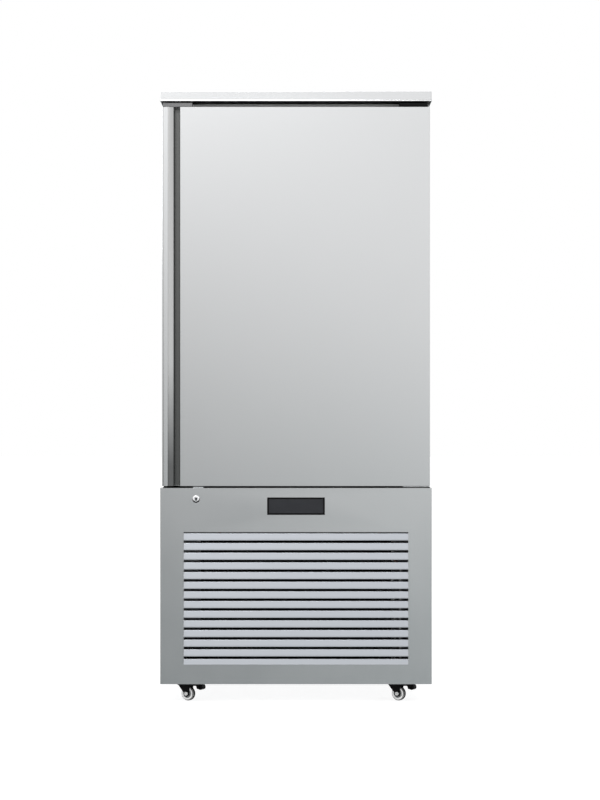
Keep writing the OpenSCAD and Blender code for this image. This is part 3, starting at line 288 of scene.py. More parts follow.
def smoked_window(name):
    """Dark acrylic with a soft sheen."""
    look = new_look(name)
    depth = look.noise((18, 18, 30), detail=2.0)
    base = look.mix(depth, tone(32, 33, 36), tone(42, 43, 47))
    return look.surface(
        Base_Color=base, Roughness=depth * 0.06 + 0.16, Specular_IOR_Level=0.3, Coat_Weight=0.1
    )


STEEL = tone(228, 229, 230)
# Lines per metre along each axis, for sheet that is brushed upright or level
UPRIGHT_LINES = (1500, 1500, 9)
LEVEL_LINES = (9, 1500, 1500)


def make_finishes():
    """One finish for each material slot of the record, and a few for added pieces."""
    return {
        "stainless_outer": brushed_steel("stainless_outer", STEEL, 0.19, UPRIGHT_LINES),
        "stainless_level": brushed_steel("stainless_level", STEEL, 0.19, LEVEL_LINES),
        "stainless_inner": brushed_steel(
            "stainless_inner", tone(220, 221, 222), 0.28, UPRIGHT_LINES
        ),
        "galvanised": galvanised_sheet("galvanised"),
        "hinge_steel": cast_metal("hinge_steel", tone(206, 208, 210), 0.26),
        "louvre_aluminium": brushed_steel(
            "louvre_aluminium", tone(195, 199, 205), 0.3, LEVEL_LINES
        ),
        "coil_aluminium": cast_metal("coil_aluminium", tone(206, 209, 212), 0.42),
        # Near-black condenser fins: painted shade, so the gaps between the louvres show black
        "coil_black": moulded_plastic("coil_black", tone(8, 8, 9), 0.6, gloss=0.15),
        # Near-black board: painted shade under the worktop's overhang
        "board_black": laminated_board("board_black"),
        "foam": foam_core("foam"),
        "gasket_grey": worn_rubber("gasket_grey", tone(96, 97, 99)),
        "black_plastic": moulded_plastic(
            "black_plastic", tone(5, 5, 6), 0.4, bump=0.02, gloss=0.1
        ),
        "display_glass": smoked_window("display_glass"),
        "lock_chrome": cast_metal(
            "lock_chrome", tone(252, 252, 252), 0.14, metallic=0.4, bump=0.005
        ),
        "lock_steel": cast_metal("lock_steel", tone(226, 227, 229), 0.24, metallic=0.6),
        "hinge_black": moulded_plastic("hinge_black", tone(6, 6, 7), 0.5, gloss=0.12),
        "plate_grey": moulded_plastic("plate_grey", tone(124, 124, 125), 0.5, gloss=0.15),
        "machine_black": moulded_plastic("machine_black", tone(20, 20, 21), 0.4),
        "fan_aluminium": cast_metal("fan_aluminium", tone(200, 203, 206), 0.38),
        "copper": cast_metal("copper", tone(206, 138, 104), 0.32),
        "castor_black": moulded_plastic("castor_black", tone(5, 5, 6), 0.45, gloss=0.12),
        "castor_wheel": moulded_plastic("castor_wheel", tone(246, 246, 245), 0.4, gloss=0.4),
        "pedal_black": moulded_plastic("pedal_black", tone(5, 5, 6), 0.45, gloss=0.12),
        "tyre_black": worn_rubber("tyre_black", tone(14, 14, 15)),
        "hub_grey": moulded_plastic("hub_grey", tone(150, 152, 152), 0.45),
        "bolt_zinc": cast_metal("bolt_zinc", tone(246, 246, 245), 0.2, metallic=0.3),
        # Pale copper for pipes in sight behind the louvres: painted highlight
        "pale_highlight_copper": cast_metal("pale_highlight_copper", tone(212, 212, 210), 0.34),
        # Dark steel that lines the finger recess: painted shade
        "grip_painted_shade": brushed_steel("grip_painted_shade", tone(110, 111, 110), 0.24, UPRIGHT_LINES),
        # Darker steel for the handle's lip, darker still towards its foot: painted shade
        "lip_painted_shade": brushed_steel(
            "lip_painted_shade", tone(205, 205, 205), 0.24, UPRIGHT_LINES, foot=(0.70, 1.0, 0.28)
        ),
        # Pale, nearly matt strip above the door: painted light
        "frame_painted_light": cast_metal("frame_painted_light", tone(248, 248, 248), 0.5, metallic=0.1),
    }


# ---------- Mesh building ----------


def node_slot(node):
    """The record's material slot of a node of the frame."""
    return frame["nodes"][node].data.materials[0].name


def node_body(node):
    """The body that a node of the frame rides on."""
    return frame["nodes"][node]["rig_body"]


def block(low, high):
    """A box between two corners."""
    low, high = Vector(low), Vector(high)
    bm = bmesh.new()
    size = Matrix.Diagonal((*(high - low), 1))
    bmesh.ops.create_cube(bm, size=1, matrix=Matrix.Translation((low + high) / 2) @ size)
    return bm


def copy_of(node):
    """The merged mesh of a node, with its flat faces joined."""
    bm = bmesh.new()
    bm.from_mesh(frame["nodes"][node].data)
    bmesh.ops.remove_doubles(bm, verts=bm.verts, dist=MERGED)
    bmesh.ops.dissolve_limit(bm, angle_limit=math.radians(1), verts=bm.verts, edges=bm.edges)
    return bm


def sharp_edges(bm, least_length=0.0, angle=30):
    """Edges where two faces meet at more than an angle, in degrees."""
    return [
        e for e in bm.edges
        if e.is_manifold and e.calc_face_angle(0) > math.radians(angle)
        and e.calc_length() > least_length
    ]


def outer_edges(bm, low, high):
    """Edges that lie where two faces of the mesh's own box meet."""
    sides = [(axis, corner.dot(axis)) for axis in (X, Y, Z) for corner in (low, high)]
    planes = [set(edges_on(bm.edges, axis, side)) for axis, side in sides]
    return [e for e in bm.edges if sum(e in plane for plane in planes) >= 2]


def edges_on(edges, axis, level):
    """Those edges that lie in a plane across an axis."""
    return [e for e in edges if all(abs(v.co.dot(axis) - level) < FLUSH for v in e.verts)]


def runs_along(edge, axis):
    """Whether an edge runs along an axis."""
    return abs((edge.verts[1].co - edge.verts[0].co).normalized().dot(axis)) > 0.999


def cut_across(bm, axis, level):
    """Divides the faces of a mesh along a plane across an axis."""
    everything = bm.verts[:] + bm.edges[:] + bm.faces[:]
    bmesh.ops.bisect_plane(bm, geom=everything, plane_co=axis * level, plane_no=axis)


def round_off(bm, edges, radius, segments=3):
    """Rounds edges."""
    bmesh.ops.bevel(
        bm, geom=list(edges), offset=radius, offset_type="OFFSET", segments=segments,
        profile=0.5, affect="EDGES", material=-1, clamp_overlap=True,
    )


def face_towards(bm, way):
    """The largest face that looks one way."""
    return max((f for f in bm.faces if f.normal.dot(way) > 0.99), key=lambda f: f.calc_area())


def extruded(outline, along):
    """A closed outline of points, extruded along a vector."""
    bm = bmesh.new()
    face = bm.faces.new([bm.verts.new(point) for point in outline])
    grown = bmesh.ops.extrude_face_region(bm, geom=[face])["geom"]
    moved = [item for item in grown if isinstance(item, bmesh.types.BMVert)]
    bmesh.ops.translate(bm, vec=along, verts=moved)
    bmesh.ops.recalc_face_normals(bm, faces=bm.faces)
    return bm


def lathe(outline, centre, axis, steps=48):
    """A closed outline of (radius, height) points, spun round an axis through the centre."""
    bm = bmesh.new()
    verts = [bm.verts.new((radius, 0, height)) for radius, height in outline]
    edges = [
        bm.edges.new((verts[i - 1], verts[i]))
        for i in range(len(verts)) if outline[i - 1][0] > 0 or outline[i][0] > 0
    ]
    bmesh.ops.spin(
        bm, geom=verts + edges, cent=(0, 0, 0), axis=Z, angle=2 * math.pi, steps=steps,
        use_merge=True,
    )
    bmesh.ops.remove_doubles(bm, verts=bm.verts, dist=MERGED)
    bmesh.ops.recalc_face_normals(bm, faces=bm.faces)
    return turned(bm, centre, axis)


def turned(bm, centre, axis):
    """A mesh on local z, brought to a centre and an axis."""
    turn = Z.rotation_difference(Vector(axis)).to_matrix().to_4x4()
    bmesh.ops.transform(bm, matrix=Matrix.Translation(centre) @ turn, verts=bm.verts)
    return bm


def arc(centre, radii, start, end, steps):
    """Points on an arc of a circle or an ellipse, between two angles given in quarter turns."""
    turns = [math.pi / 2 * (start + (end - start) * i / steps) for i in range(steps + 1)]
    return [(centre[0] + radii[0] * math.cos(a), centre[1] + radii[1] * math.sin(a)) for a in turns]


def rounded_outline(radius, low, high, corner, steps=4, inner=0.0):
    """A half section for lathe(): a slab with round outer corners, from inner to radius."""
    lower = arc((radius - corner, low + corner), (corner, corner), -1, 0, steps)
    upper = arc((radius - corner, high - corner), (corner, corner), 0, 1, steps)
    return [(inner, low)] + lower + upper + [(inner, high)]


def wire_ring(radius, wire, centre, axis, steps=64, sides=8):
    """A ring of round wire."""
    return lathe(arc((radius, 0), (wire, wire), 0, 4, sides)[:-1], centre, axis, steps)


def rod(start, end, radius, sides=12):
    """A round bar between two points."""
    start, end = Vector(start), Vector(end)
    bm = bmesh.new()
    turn = Z.rotation_difference(end - start).to_matrix().to_4x4()
    bmesh.ops.create_cone(
        bm, cap_ends=True, segments=sides, radius1=radius, radius2=radius,
        depth=(end - start).length, matrix=Matrix.Translation((start + end) / 2) @ turn,
    )
    return bm


def screw_head(centre, axis, radius, height):
    """A pan head with a round socket."""
    outline = [
        (0, 0), (radius, 0), (radius, height * 0.35), (radius * 0.93, height * 0.65),
        (radius * 0.72, height * 0.9), (radius * 0.5, height), (radius * 0.42, height * 0.9),
        (radius * 0.36, height * 0.3), (0, height * 0.2),
    ]
    return lathe(outline, centre, axis, 20)


def mitred_frame(section, low, high):
    """A closed section of (inwards, forwards) points, run round a rectangle that faces along y."""
    bm = bmesh.new()
    verts = [bm.verts.new((low.x + u, low.y + v, low.z + u)) for u, v in section]
    edges = [bm.edges.new((verts[i - 1], verts[i])) for i in range(len(verts))]
    for axis in (0, 2, 0, 2):
        grown = bmesh.ops.extrude_edge_only(bm, edges=edges)["geom"]
        verts = {item for item in grown if isinstance(item, bmesh.types.BMVert)}
        edges = [
            item for item in grown
            if isinstance(item, bmesh.types.BMEdge) and verts.issuperset(item.verts)
        ]
        for vert in verts:
            vert.co[axis] = low[axis] + high[axis] - vert.co[axis]
    bmesh.ops.remove_doubles(bm, verts=bm.verts, dist=MERGED)
    bmesh.ops.recalc_face_normals(bm, faces=bm.faces)
    return bm


def joined(parts):
    """Several meshes as one."""
    whole = bmesh.new()
    for part in parts:
        mesh = bpy.data.meshes.new("part")
        part.to_mesh(mesh)
        part.free()
        whole.from_mesh(mesh)
        bpy.data.meshes.remove(mesh)
    return whole


def piece(name, bm, body, finish, replaces=(), sharp=30):
    """A finished piece that rides on a body."""
    mesh = bpy.data.meshes.new(name)
    bm.edges.index_update()
    rims = [e.index for e in bm.edges if e.is_boundary]
    bm.to_mesh(mesh)
    bm.free()
    for layer in ("custom_normal", "sharp_face", "sharp_edge"):
        if layer in mesh.attributes:
            mesh.attributes.remove(mesh.attributes[layer])
    mesh.materials.clear()
    mesh.materials.append(LOOKS[finish])
    mesh.polygons.foreach_set("use_smooth", [True] * len(mesh.polygons))
    mesh.set_sharp_from_angle(angle=math.radians(sharp))
    for rim in rims:
        mesh.edges[rim].use_edge_sharp = True
    made = bpy.data.objects.new(name, mesh)
    bpy.context.scene.collection.objects.link(made)
    normals = made.modifiers.new("face_weighted", "WEIGHTED_NORMAL")
    normals.keep_sharp = True
    normals.weight = 100
    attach(made, body)
    if replaces:
        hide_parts(*replaces)
    return made


def dressed(node, bm, finish=None, sharp=30):
    """A piece that stands for one node, on the node's body and slot."""
    slot = node_slot(node)
    return piece(node + "_shell", bm, node_body(node), finish or slot, (node,), sharp)


def softened(node, radius):
    """A node's own shape with its sharp edges rounded, all but the shortest."""
    bm = copy_of(node)
    round_off(bm, sharp_edges(bm, 1 * MM), radius, 2)
    return dressed(node, bm)


def refinish(made, finish, chosen):
    """Gives one more finish to the faces whose middle and normal pass a test."""
    made.data.materials.append(LOOKS[finish])
    for face in made.data.polygons:
        if chosen(face.center, face.normal):
            face.material_index = len(made.data.materials) - 1


def thicken(made):
    """Gives an open shell its sheet, behind the face that its normals point from."""
    wall = made.modifiers.new("sheet", "SOLIDIFY")
    wall.thickness = SHEET
    wall.offset = -1
    made.modifiers.move(len(made.modifiers) - 1, 0)


# ---------- Cabinet ----------


def make_worktop():
    """Folded cap: round corners, and a hem that stands proud along its lower edge."""
    hem_height, hem_proud, corner, fold = 3.0 * MM, 0.6 * MM, 1.8 * MM, 0.7 * MM
    low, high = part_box("worktop")
    bm = block(low, high)
    bmesh.ops.delete(bm, geom=[face_towards(bm, -Z)], context="FACES")
    cut_across(bm, Z, low.z + hem_height)
    cut_across(bm, Z, low.z + hem_height + hem_proud)
    for vert in bm.verts:
        if vert.co.z > low.z + hem_height + hem_proud / 2:
            vert.co.x -= math.copysign(hem_proud, vert.co.x)
            vert.co.y -= math.copysign(hem_proud, vert.co.y)
    round_off(bm, [e for e in bm.edges if runs_along(e, Z) and e.is_manifold], corner)
    round_off(bm, edges_on(bm.edges, Z, high.z), fold, 2)
    thicken(dressed("worktop", bm, finish="stainless_level"))


def make_side_panels():
    """Folded sheets with rounded front and rear corners."""
    fold = 1.1 * MM
    for side in ("left", "right"):
        node = "side_panel_" + side
        low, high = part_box(node)
        bm = copy_of(node)
        outside = low.x if side == "left" else high.x
        round_off(bm, [e for e in edges_on(bm.edges, X, outside) if runs_along(e, Z)], fold)
        dressed(node, bm)


def make_front_panel():
    """Folded panel: round folds outside, small burr-free edges at its cut-outs."""
    upright_fold, level_fold, cut_edge = 1.6 * MM, 0.9 * MM, 0.3 * MM
    low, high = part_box("front_panel")
    bm = copy_of("front_panel")
    round_off(bm, [e for e in outer_edges(bm, low, high) if runs_along(e, Z)], upright_fold)
    round_off(bm, [e for e in outer_edges(bm, low, high) if not runs_along(e, Z)], level_fold)
    round_off(bm, edges_on(sharp_edges(bm, angle=60), Y, low.y), cut_edge, 2)
    dressed("front_panel", bm)


def make_plates():
    """Nodes whose shape only wants rounded edges, with their radii in millimetres."""
    edges = {
        "rear_panel": 0.4, "rear_grille": 0.4, "deck_panel": 0.3,
        "louvre_frame": 0.4, "top_hinge": 0.8, "bottom_hinge": 0.7, "hinge_blank_plate": 0.6,
        "lock_guide": 0.5, "base_pan": 0.5, "rack_uprights": 0.4, "tray_runners": 0.4,
        "fan_panel": 0.3, "electrical_box": 0.5, "condenser_shroud": 0.4, "castor_plates": 0.6,
        "hinge_bushes": 0.4, "control_window": 0.3, "controller_unit": 1.5, "condensate_tray": 1.2,
        "brake_pedal_fl": 0.8, "brake_pedal_fr": 0.8, "cable_gland": 0.6, "floor_drain": 0.6,
        "probe_socket": 0.8, "evaporator_fan_motors": 1.0, "condenser_fan_motor": 1.0,
    }
    for node, radius in edges.items():
        softened(node, radius * MM)


def make_front_frame():
    """Sheet round the door opening, with a pale satin strip above the door: painted light on the
    band seen between the door and the worktop.
    """
    strip_height = 24 * MM
    strip_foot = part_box("front_frame")[1].z - strip_height
    bm = copy_of("front_frame")
    cut_across(bm, Z, strip_foot)
    frame_sheet = dressed("front_frame", bm)
    refinish(
        frame_sheet, "frame_painted_light",
        lambda middle, normal: middle.z > strip_foot and normal.y < -0.9,
    )


def make_door_foot_shade():
    """Black sheet under the door, its upright, and a strip at the lower hinge plate's foot: painted
    shade of the gaps there.
    """
    shade_thickness, upright_height, upright_depth = 0.8 * MM, 22 * MM, 1 * MM
    strip_height, strip_foot, strip_proud, strip_end = 3.0 * MM, 0.1 * MM, 0.4 * MM, 0.5 * MM
    cabinet_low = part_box("front_frame")[0]
    hinge_low, hinge_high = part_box("bottom_hinge")
    guide_low, guide_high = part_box("lock_guide")
    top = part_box("front_panel")[1].z
    left, right = cabinet_low.x + 1.5 * MM, hinge_low.x - 1 * MM
    front, back = FRONT + 7 * MM, cabinet_low.y
    outline = [
        (left, back), (left, front), (guide_low.x, front), (guide_low.x, guide_high.y),
        (guide_high.x, guide_high.y), (guide_high.x, front), (right, front), (right, back),
    ]
    gap_shade_sheet = extruded([(x, y, top) for x, y in outline], Z * shade_thickness)
    upright = block((left, back - upright_depth, top + shade_thickness), (right, back, top + upright_height))
    round_off(upright, edges_on(upright.edges, Y, back - upright_depth), 0.4 * MM, 2)
    face, foot = hinge_low.y - strip_proud, top + strip_foot
    strip = block(
        (hinge_low.x + strip_end, face, foot),
        (hinge_high.x - strip_end, hinge_low.y + strip_proud, foot + strip_height),
    )
    round_off(strip, edges_on(strip.edges, Y, face), 0.2 * MM, 2)
    parts = [gap_shade_sheet, upright, strip]
    piece("door_foot_painted_shade", joined(parts), "cabinet", "black_plastic")


# ---------- Louvres ----------

SLAT_PITCH = 28.5 * MM
SLAT_RISE = 22.7 * MM  # height of one blade


def slat_section(depth):
    """Section of a blade from its lower front corner: lip, even face, rolled top, and its back."""
    lip, bend, lean, roll_foot, roll_reach = 3.2 * MM, 1.4 * MM, 2.2 * MM, 19.6 * MM, 4.4 * MM
    face = [(0, 0), (0, lip), (0.5 * MM, lip + bend), (lean, roll_foot)]
    steps = 4
    for i in range(1, steps + 1):
        share = i / steps
        face.append((lean + roll_reach * share ** 1.6, roll_foot + (SLAT_RISE - roll_foot) * share))
    back = [(min(y + SHEET, depth), z - SHEET / 2 if z > 0 else z) for y, z in face]
    return face + back[::-1]


def make_slats():
    """Even blades with a flat lip below and a rolled upper edge."""
    low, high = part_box("louvre_slats")
    count = round((high.z - low.z - SLAT_RISE) / SLAT_PITCH) + 1
    section = slat_section(high.y - low.y)
    blades = []
    for i in range(count):
        foot = high.z - SLAT_RISE - i * SLAT_PITCH
        outline = [(low.x, low.y + y, foot + z) for y, z in section]
        blades.append(extruded(outline, X * (high.x - low.x)))
    dressed("louvre_slats", joined(blades), sharp=40)


# ---------- Door ----------


def make_door():
    """Skin with round folds, and the handle's long profile, its lip in darker steel as painted
    shade.
    """
    upright_fold, level_fold = 1.8 * MM, 0.5 * MM
    low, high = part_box("door_skin")
    bm = copy_of("door_skin")
    uprights = [e for e in outer_edges(bm, low, high) if runs_along(e, Z)]
    round_off(bm, [e for e in uprights if e.verts[0].co.x > high.x - MM], upright_fold)
    level = [e for e in outer_edges(bm, low, high) if not runs_along(e, Z)]
    round_off(bm, level, level_fold, 2)
    dressed("door_skin", bm)
    bm = copy_of("door_handle")
    round_off(bm, [e for e in sharp_edges(bm) if not runs_along(e, Z)], level_fold, 2)
    handle = dressed("door_handle", bm, sharp=35)
    low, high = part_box("door_handle")
    lip_left, lip_right, lip_back = low.x + 17.5 * MM, high.x - 19.5 * MM, low.y + 14 * MM
    # The lip's curved faces get the darker steel: painted shade
    refinish(
        handle, "lip_painted_shade",
        lambda middle, normal: lip_left < middle.x < lip_right and middle.y < lip_back,
    )


def make_grip_painted_shade():
    """Dark steel sheet on the floor and the inner wall of the finger recess: painted shade of the
    recess.
    """
    wall, recess, front_gap, thickness, corner = 2 * MM, 40 * MM, 6 * MM, 1.2 * MM, 3 * MM
    low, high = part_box("door_handle")
    left, right = low.x + wall, high.x - wall
    floor, front = low.y + recess, low.y + front_gap
    cove = (right - thickness - corner, floor - thickness - corner)
    outline = [(left, floor), (left, floor - thickness)] + arc(cove, (corner, corner), 1, 0, 5)
    outline += [(right - thickness, front), (right, front), (right, floor)]
    foot = low.z + 1 * MM
    bm = extruded([(x, y, foot) for x, y in outline], Z * (high.z - low.z - 2 * MM))
    piece("handle_grip_painted_shade", bm, "door", "grip_painted_shade", sharp=35)


def make_gasket():
    """Magnetic seal: a foot on the liner, two bellows and a flat face."""
    width = 28 * MM
    low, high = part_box("door_gasket")
    depth = high.y - low.y
    section = [  # shares of its width and depth
        (0, 0.08), (0.06, 0.34), (0, 0.46), (0.08, 0.62), (0.02, 0.78), (0.06, 0.96), (0.12, 1),
        (0.62, 1), (0.68, 0.9), (0.62, 0.7), (0.72, 0.56), (0.66, 0.42), (0.8, 0.26), (1, 0.2),
        (1, 0), (0.04, 0),
    ]
    bm = mitred_frame([(u * width, v * depth) for u, v in section], low, high)
    dressed("door_gasket", bm, sharp=50)


def make_door_liner():
    """Pressed sheet with a raised field inside the seal."""
    margin, raised, slope, bend = 62 * MM, 5 * MM, 8 * MM, 2.5 * MM
    low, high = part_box("door_liner")
    seal_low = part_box("door_gasket")[0]
    bm = block(low, high)
    field = face_towards(bm, Y)
    inset = min(abs(seal_low.x + margin - slope - low.x), margin)
    bmesh.ops.inset_region(bm, faces=[field], thickness=inset, use_even_offset=True)
    bmesh.ops.inset_region(bm, faces=[field], thickness=slope, use_even_offset=True)
    bmesh.ops.translate(bm, vec=Y * raised, verts=field.verts[:])
    bends = [
        e for e in sharp_edges(bm, angle=15)
        if all(low.x + MM < v.co.x < high.x - MM for v in e.verts)
    ]
    round_off(bm, bends, bend)
    dressed("door_liner", bm)


# ---------- Chamber ----------


def make_chamber_liner():
    """Shell with coved corners, open to the front."""
    cove = 12 * MM
    low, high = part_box("chamber_liner")
    bm = block(low + Vector((SHEET, 0, SHEET)), high - Vector((SHEET, SHEET, SHEET)))
    bmesh.ops.delete(bm, geom=[face_towards(bm, -Y)], context="FACES")
    round_off(bm, [e for e in bm.edges if e.is_manifold], cove, 5)
    bmesh.ops.reverse_faces(bm, faces=bm.faces)
    thicken(dressed("chamber_liner", bm))


def fan_centres():
    """Where the two evaporator fans' axes meet the front of the fan panel."""
    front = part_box("fan_panel")[0].y
    fans = ("evaporator_fan_lower", "evaporator_fan_upper")
    middles = [(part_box(fan)[0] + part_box(fan)[1]) / 2 for fan in fans]
    return [Vector((0, front, middle.z)) for middle in middles]


def make_fan_guards():
    """Round wire: rings on four spokes, a stout rim, and a centre disc."""
    low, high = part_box("fan_guards")
    rim = (high.x - low.x) / 2
    wire, stout, rings = 1.5 * MM, 2.4 * MM, 7
    parts = []
    for centre in fan_centres():
        face = centre + Vector((0, low.y + wire - centre.y, 0))
        back = face + Y * 2 * wire
        parts.append(wire_ring(rim - stout, stout, centre - Y * stout, Y, 96))
        for i in range(1, rings):
            parts.append(wire_ring(rim * i / rings, wire, face, Y, 72, 6))
        for angle in (0.25, 0.75, 1.25, 1.75):
            way = Vector((math.cos(angle * math.pi), 0, math.sin(angle * math.pi)))
            parts.append(rod(back, back + way * (rim - stout), wire, 8))
        disc = rounded_outline(rim / rings, 0, 1.2 * MM, 0.5 * MM, 2)
        parts.append(lathe(disc, face - Y * wire, Y, 48))
    dressed("fan_guards", joined(parts), sharp=40)


def make_inlet_rings():
    """Rolled rims of the two openings in the fan panel."""
    flange, proud, roll, depth, sheet = 5 * MM, 0.4 * MM, 1 * MM, 12 * MM, 1.6 * MM
    inside_guard = 8 * MM
    low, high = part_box("fan_guards")
    radius = (high.x - low.x) / 2 - inside_guard
    lip = [(radius, -proud), (radius + flange, -proud), (radius + flange, 0)]
    lip += arc((radius - roll, 0), (roll, depth), 0, 1, 5)
    lip += [(radius - sheet, depth), (radius - sheet, roll)]
    rings = [lathe(lip, centre, Y, 96) for centre in fan_centres()]
    piece("inlet_rings", joined(rings), "cabinet", "stainless_inner")


def make_fan(node):
    """Hub with a rounded nose, and swept blades that twist towards their tips."""
    count, hub, bore, sheet = 5, 42 * MM, 8 * MM, 1.6 * MM
    half_angle, sweep, root_twist, twist_loss = 0.52, 0.42, 0.40, 0.17
    low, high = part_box(node)
    tip, depth, root = high.x, high.y - low.y, hub - 2 * MM
    centre = Vector((0, low.y, (low.z + high.z) / 2))
    centre.z = next((c.z for c in fan_centres() if abs(c.z - centre.z) < 10 * MM), centre.z)
    parts = [lathe(rounded_outline(hub, 0, depth, 5 * MM, inner=bore), (0, 0, 0), Z, 64)]
    for i in range(count):
        blade = bmesh.new()
        bmesh.ops.create_grid(blade, x_segments=10, y_segments=8, size=1)
        for vert in blade.verts:
            out, across = (vert.co.x + 1) / 2, vert.co.y
            reach = root + (tip - root) * out
            spread = half_angle * math.sqrt(max(0.05, 1 - out ** 7)) * (1 - 0.18 * out)
            angle = across * spread + sweep * out + 2 * math.pi * i / count
            twist = across * (root_twist - twist_loss * out)
            height = depth * (0.5 + twist + 0.05 * (1 - across * across))
            vert.co = (reach * math.cos(angle), reach * math.sin(angle), height)
        bmesh.ops.recalc_face_normals(blade, faces=blade.faces)
        bmesh.ops.solidify(blade, geom=blade.faces[:], thickness=sheet)
        parts.append(blade)
    dressed(node, turned(joined(parts), centre, Y), sharp=40)


def evenly(low, high, count):
    """Values at even steps from low to high."""
    return [low + (high - low) * i / (count - 1) for i in range(count)]


def make_screws():
    """Pan-head screws of the fan panel, the rear panel and the grille."""
    radius, height = 4 * MM, 2 * MM
    low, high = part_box("fan_panel")
    edge = 9 * MM
    rows = [low.z + edge] + evenly(low.z, high.z, 5)[1:-1] + [high.z - edge]
    places = [(side * (high.x - edge), low.y, z) for side in (-1, 1) for z in rows]
    heads = [screw_head(place, -Y, radius, height) for place in places]
    piece("fan_panel_screws", joined(heads), "cabinet", "bolt_zinc")
    low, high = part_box("rear_panel")
    edge, foot = 12 * MM, 14 * MM
    rows = evenly(low.z + foot, high.z - foot, 5)
    places = [(side * (high.x - edge), high.y, z) for side in (-1, 1) for z in rows]
    places += [(x, high.y, low.z + foot) for x in evenly(-0.2, 0.2, 3)]
    heads = [screw_head(place, Y, radius, height) for place in places]
    piece("rear_panel_screws", joined(heads), "cabinet", "bolt_zinc")
    low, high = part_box("grille_screws")
    radius, shank, face = 4.5 * MM, 2 * MM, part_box("rear_grille")[1].y
    parts = []
    for x in (low.x + radius, high.x - radius):
        for z in evenly(low.z + radius, high.z - radius, 3):
            parts.append(screw_head((x, face, z), Y, radius, high.y - face))
            parts.append(rod((x, low.y, z), (x, face, z), shank))
    dressed("grille_screws", joined(parts), finish="bolt_zinc")


# ---------- Controls and lock ----------


def make_display():
    """Bezel with a round rim."""
    rim = 0.8 * MM
    bm = copy_of("control_bezel")
    round_off(bm, edges_on(sharp_edges(bm, angle=60), Y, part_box("control_bezel")[0].y), rim)
    dressed("control_bezel", bm)


def make_lock():
    """Domed bezel on a threaded barrel with its nut, and keyed plug; the black on the bezel's lower
    rim, in the key slot and as a pear on the plug's face is painted shade.
    """
    bore, bezel, thread, crown = 7.05 * MM, 11 * MM, 9.5 * MM, 3.0 * MM
    nut, nut_height = thread + 4 * MM, 4 * MM
    shade_up, shade_radius = 3.4 * MM, 9.9 * MM
    low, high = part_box("lock_housing")
    centre = Vector(((low.x + high.x) / 2, FRONT, (low.z + high.z) / 2))
    proud, barrel = FRONT - low.y, high.y - FRONT
    dome = [(bore, proud * 0.55), (bore + 0.5 * MM, proud * 0.9)]
    dome += arc((bezel - crown, 0), (crown, proud), 1, 0, 7)
    outline = dome + [(thread, 0), (thread, -barrel), (bore, -barrel)]
    nut_section = [
        (thread, -SHEET), (nut, -SHEET), (nut, -SHEET - nut_height), (thread, -SHEET - nut_height),
    ]
    parts = [lathe(outline, centre, -Y), lathe(nut_section, centre, -Y, 6)]
    housing = dressed("lock_housing", joined(parts), sharp=50)

    # Black plastic on the dome's lower rim: a painted shadow crescent
    def in_painted_shade(middle, normal):
        off_centre = math.hypot(middle.x - centre.x, middle.z - centre.z - shade_up)
        return middle.y < FRONT and normal.y < 0.5 and off_centre > shade_radius

    refinish(housing, "black_plastic", in_painted_shade)
    bm = copy_of("lock_cam")
    round_off(bm, sharp_edges(bm, 1 * MM), 0.2 * MM, 2)
    plug = dressed("lock_cam", bm)
    plug_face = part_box("lock_cam")[0].y
    slot_reach, slot_front, slot_back = 5.4 * MM, plug_face + 0.15 * MM, FRONT + 10 * MM

    # Black plastic inside the key slot, and a black pear on the plug's face: painted shade of the
    # keyhole
    def in_keyhole_shade(middle, normal):
        reach = math.hypot(middle.x - centre.x, middle.z - centre.z)
        return reach < slot_reach and slot_front < middle.y < slot_back

    refinish(plug, "black_plastic", in_keyhole_shade)
    top, radius, half_foot, foot, sheet = 1.6 * MM, 3.3 * MM, 1.5 * MM, -4.6 * MM, 0.25 * MM
    crest = arc((0, top), (radius, radius), -0.25, 2.25, 10)
    pear = [(half_foot, foot)] + crest + [(-half_foot, foot)]
    outline = [(centre.x + x, plug_face - sheet, centre.z + z) for x, z in pear]
    plate = extruded(outline, Y * sheet)
    piece("keyhole_painted_shade", plate, "lock", "black_plastic", sharp=40)


# ---------- Machine compartment ----------


def make_cooling_circuit():
    """Bare pipes behind; pipes and return bends where the louvres show them are pale: painted
    highlight.
    """
    coil_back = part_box("condenser_coil")[1].y
    pipes = dressed("refrigerant_pipes", copy_of("refrigerant_pipes"), sharp=40)
    refinish(pipes, "pale_highlight_copper", lambda middle, normal: middle.y < coil_back)
    for node, finish in (("condenser_coil", "pale_highlight_copper"), ("evaporator_coil", "copper")):
        coil = dressed(node, copy_of(node), sharp=40)
        fins_end = -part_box(node)[0].x + 0.1 * MM
        refinish(coil, finish, lambda middle, normal: middle.x > fins_end)


def make_compressor():
    """Welded shell with a domed lid and a seam, on a foot plate with four feet."""
    foot, plate, dome, seam = 10 * MM, 5 * MM, 42 * MM, 2 * MM
    low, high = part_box("compressor")
    centre = Vector(((low.x + high.x) / 2, (low.y + high.y) / 2, low.z))
    height, radius = high.z - low.z, (high.x - low.x) / 2
    wall, seam_z = radius * 0.97, height * 0.55
    shell = [
        (0, foot + plate), (wall, foot + plate), (wall, seam_z - seam - MM),
        (radius, seam_z - seam), (radius, seam_z + seam), (wall, seam_z + seam + MM),
    ]
    shell += arc((0, height - dome), (wall, dome), 0, 1, 10)[:-1] + [(0, height)]
    parts = [lathe(shell, centre, Z, 64)]
    base = block((low.x, low.y, low.z + foot), (high.x, high.y, low.z + foot + plate))
    round_off(base, [e for e in base.edges if runs_along(e, Z)], 24 * MM, 6)
    parts.append(base)
    reach = radius - 15 * MM
    for x in (-reach, reach):
        for y in (-reach, reach):
            sleeve = rounded_outline(14 * MM, 0, foot, 2 * MM, 3)
            parts.append(lathe(sleeve, centre + Vector((x, y, 0)), Z, 32))
    dressed("compressor", joined(parts), sharp=40)


# ---------- Castors ----------

CASTORS = ("fl", "fr", "rl", "rr")


def wheel_axis(corner):
    """The way that a wheel's axle runs."""
    joint = next(j for j in frame["joints"] if j["name"] == "wheel_spin_" + corner)
    return Vector(joint["axis"]).normalized()


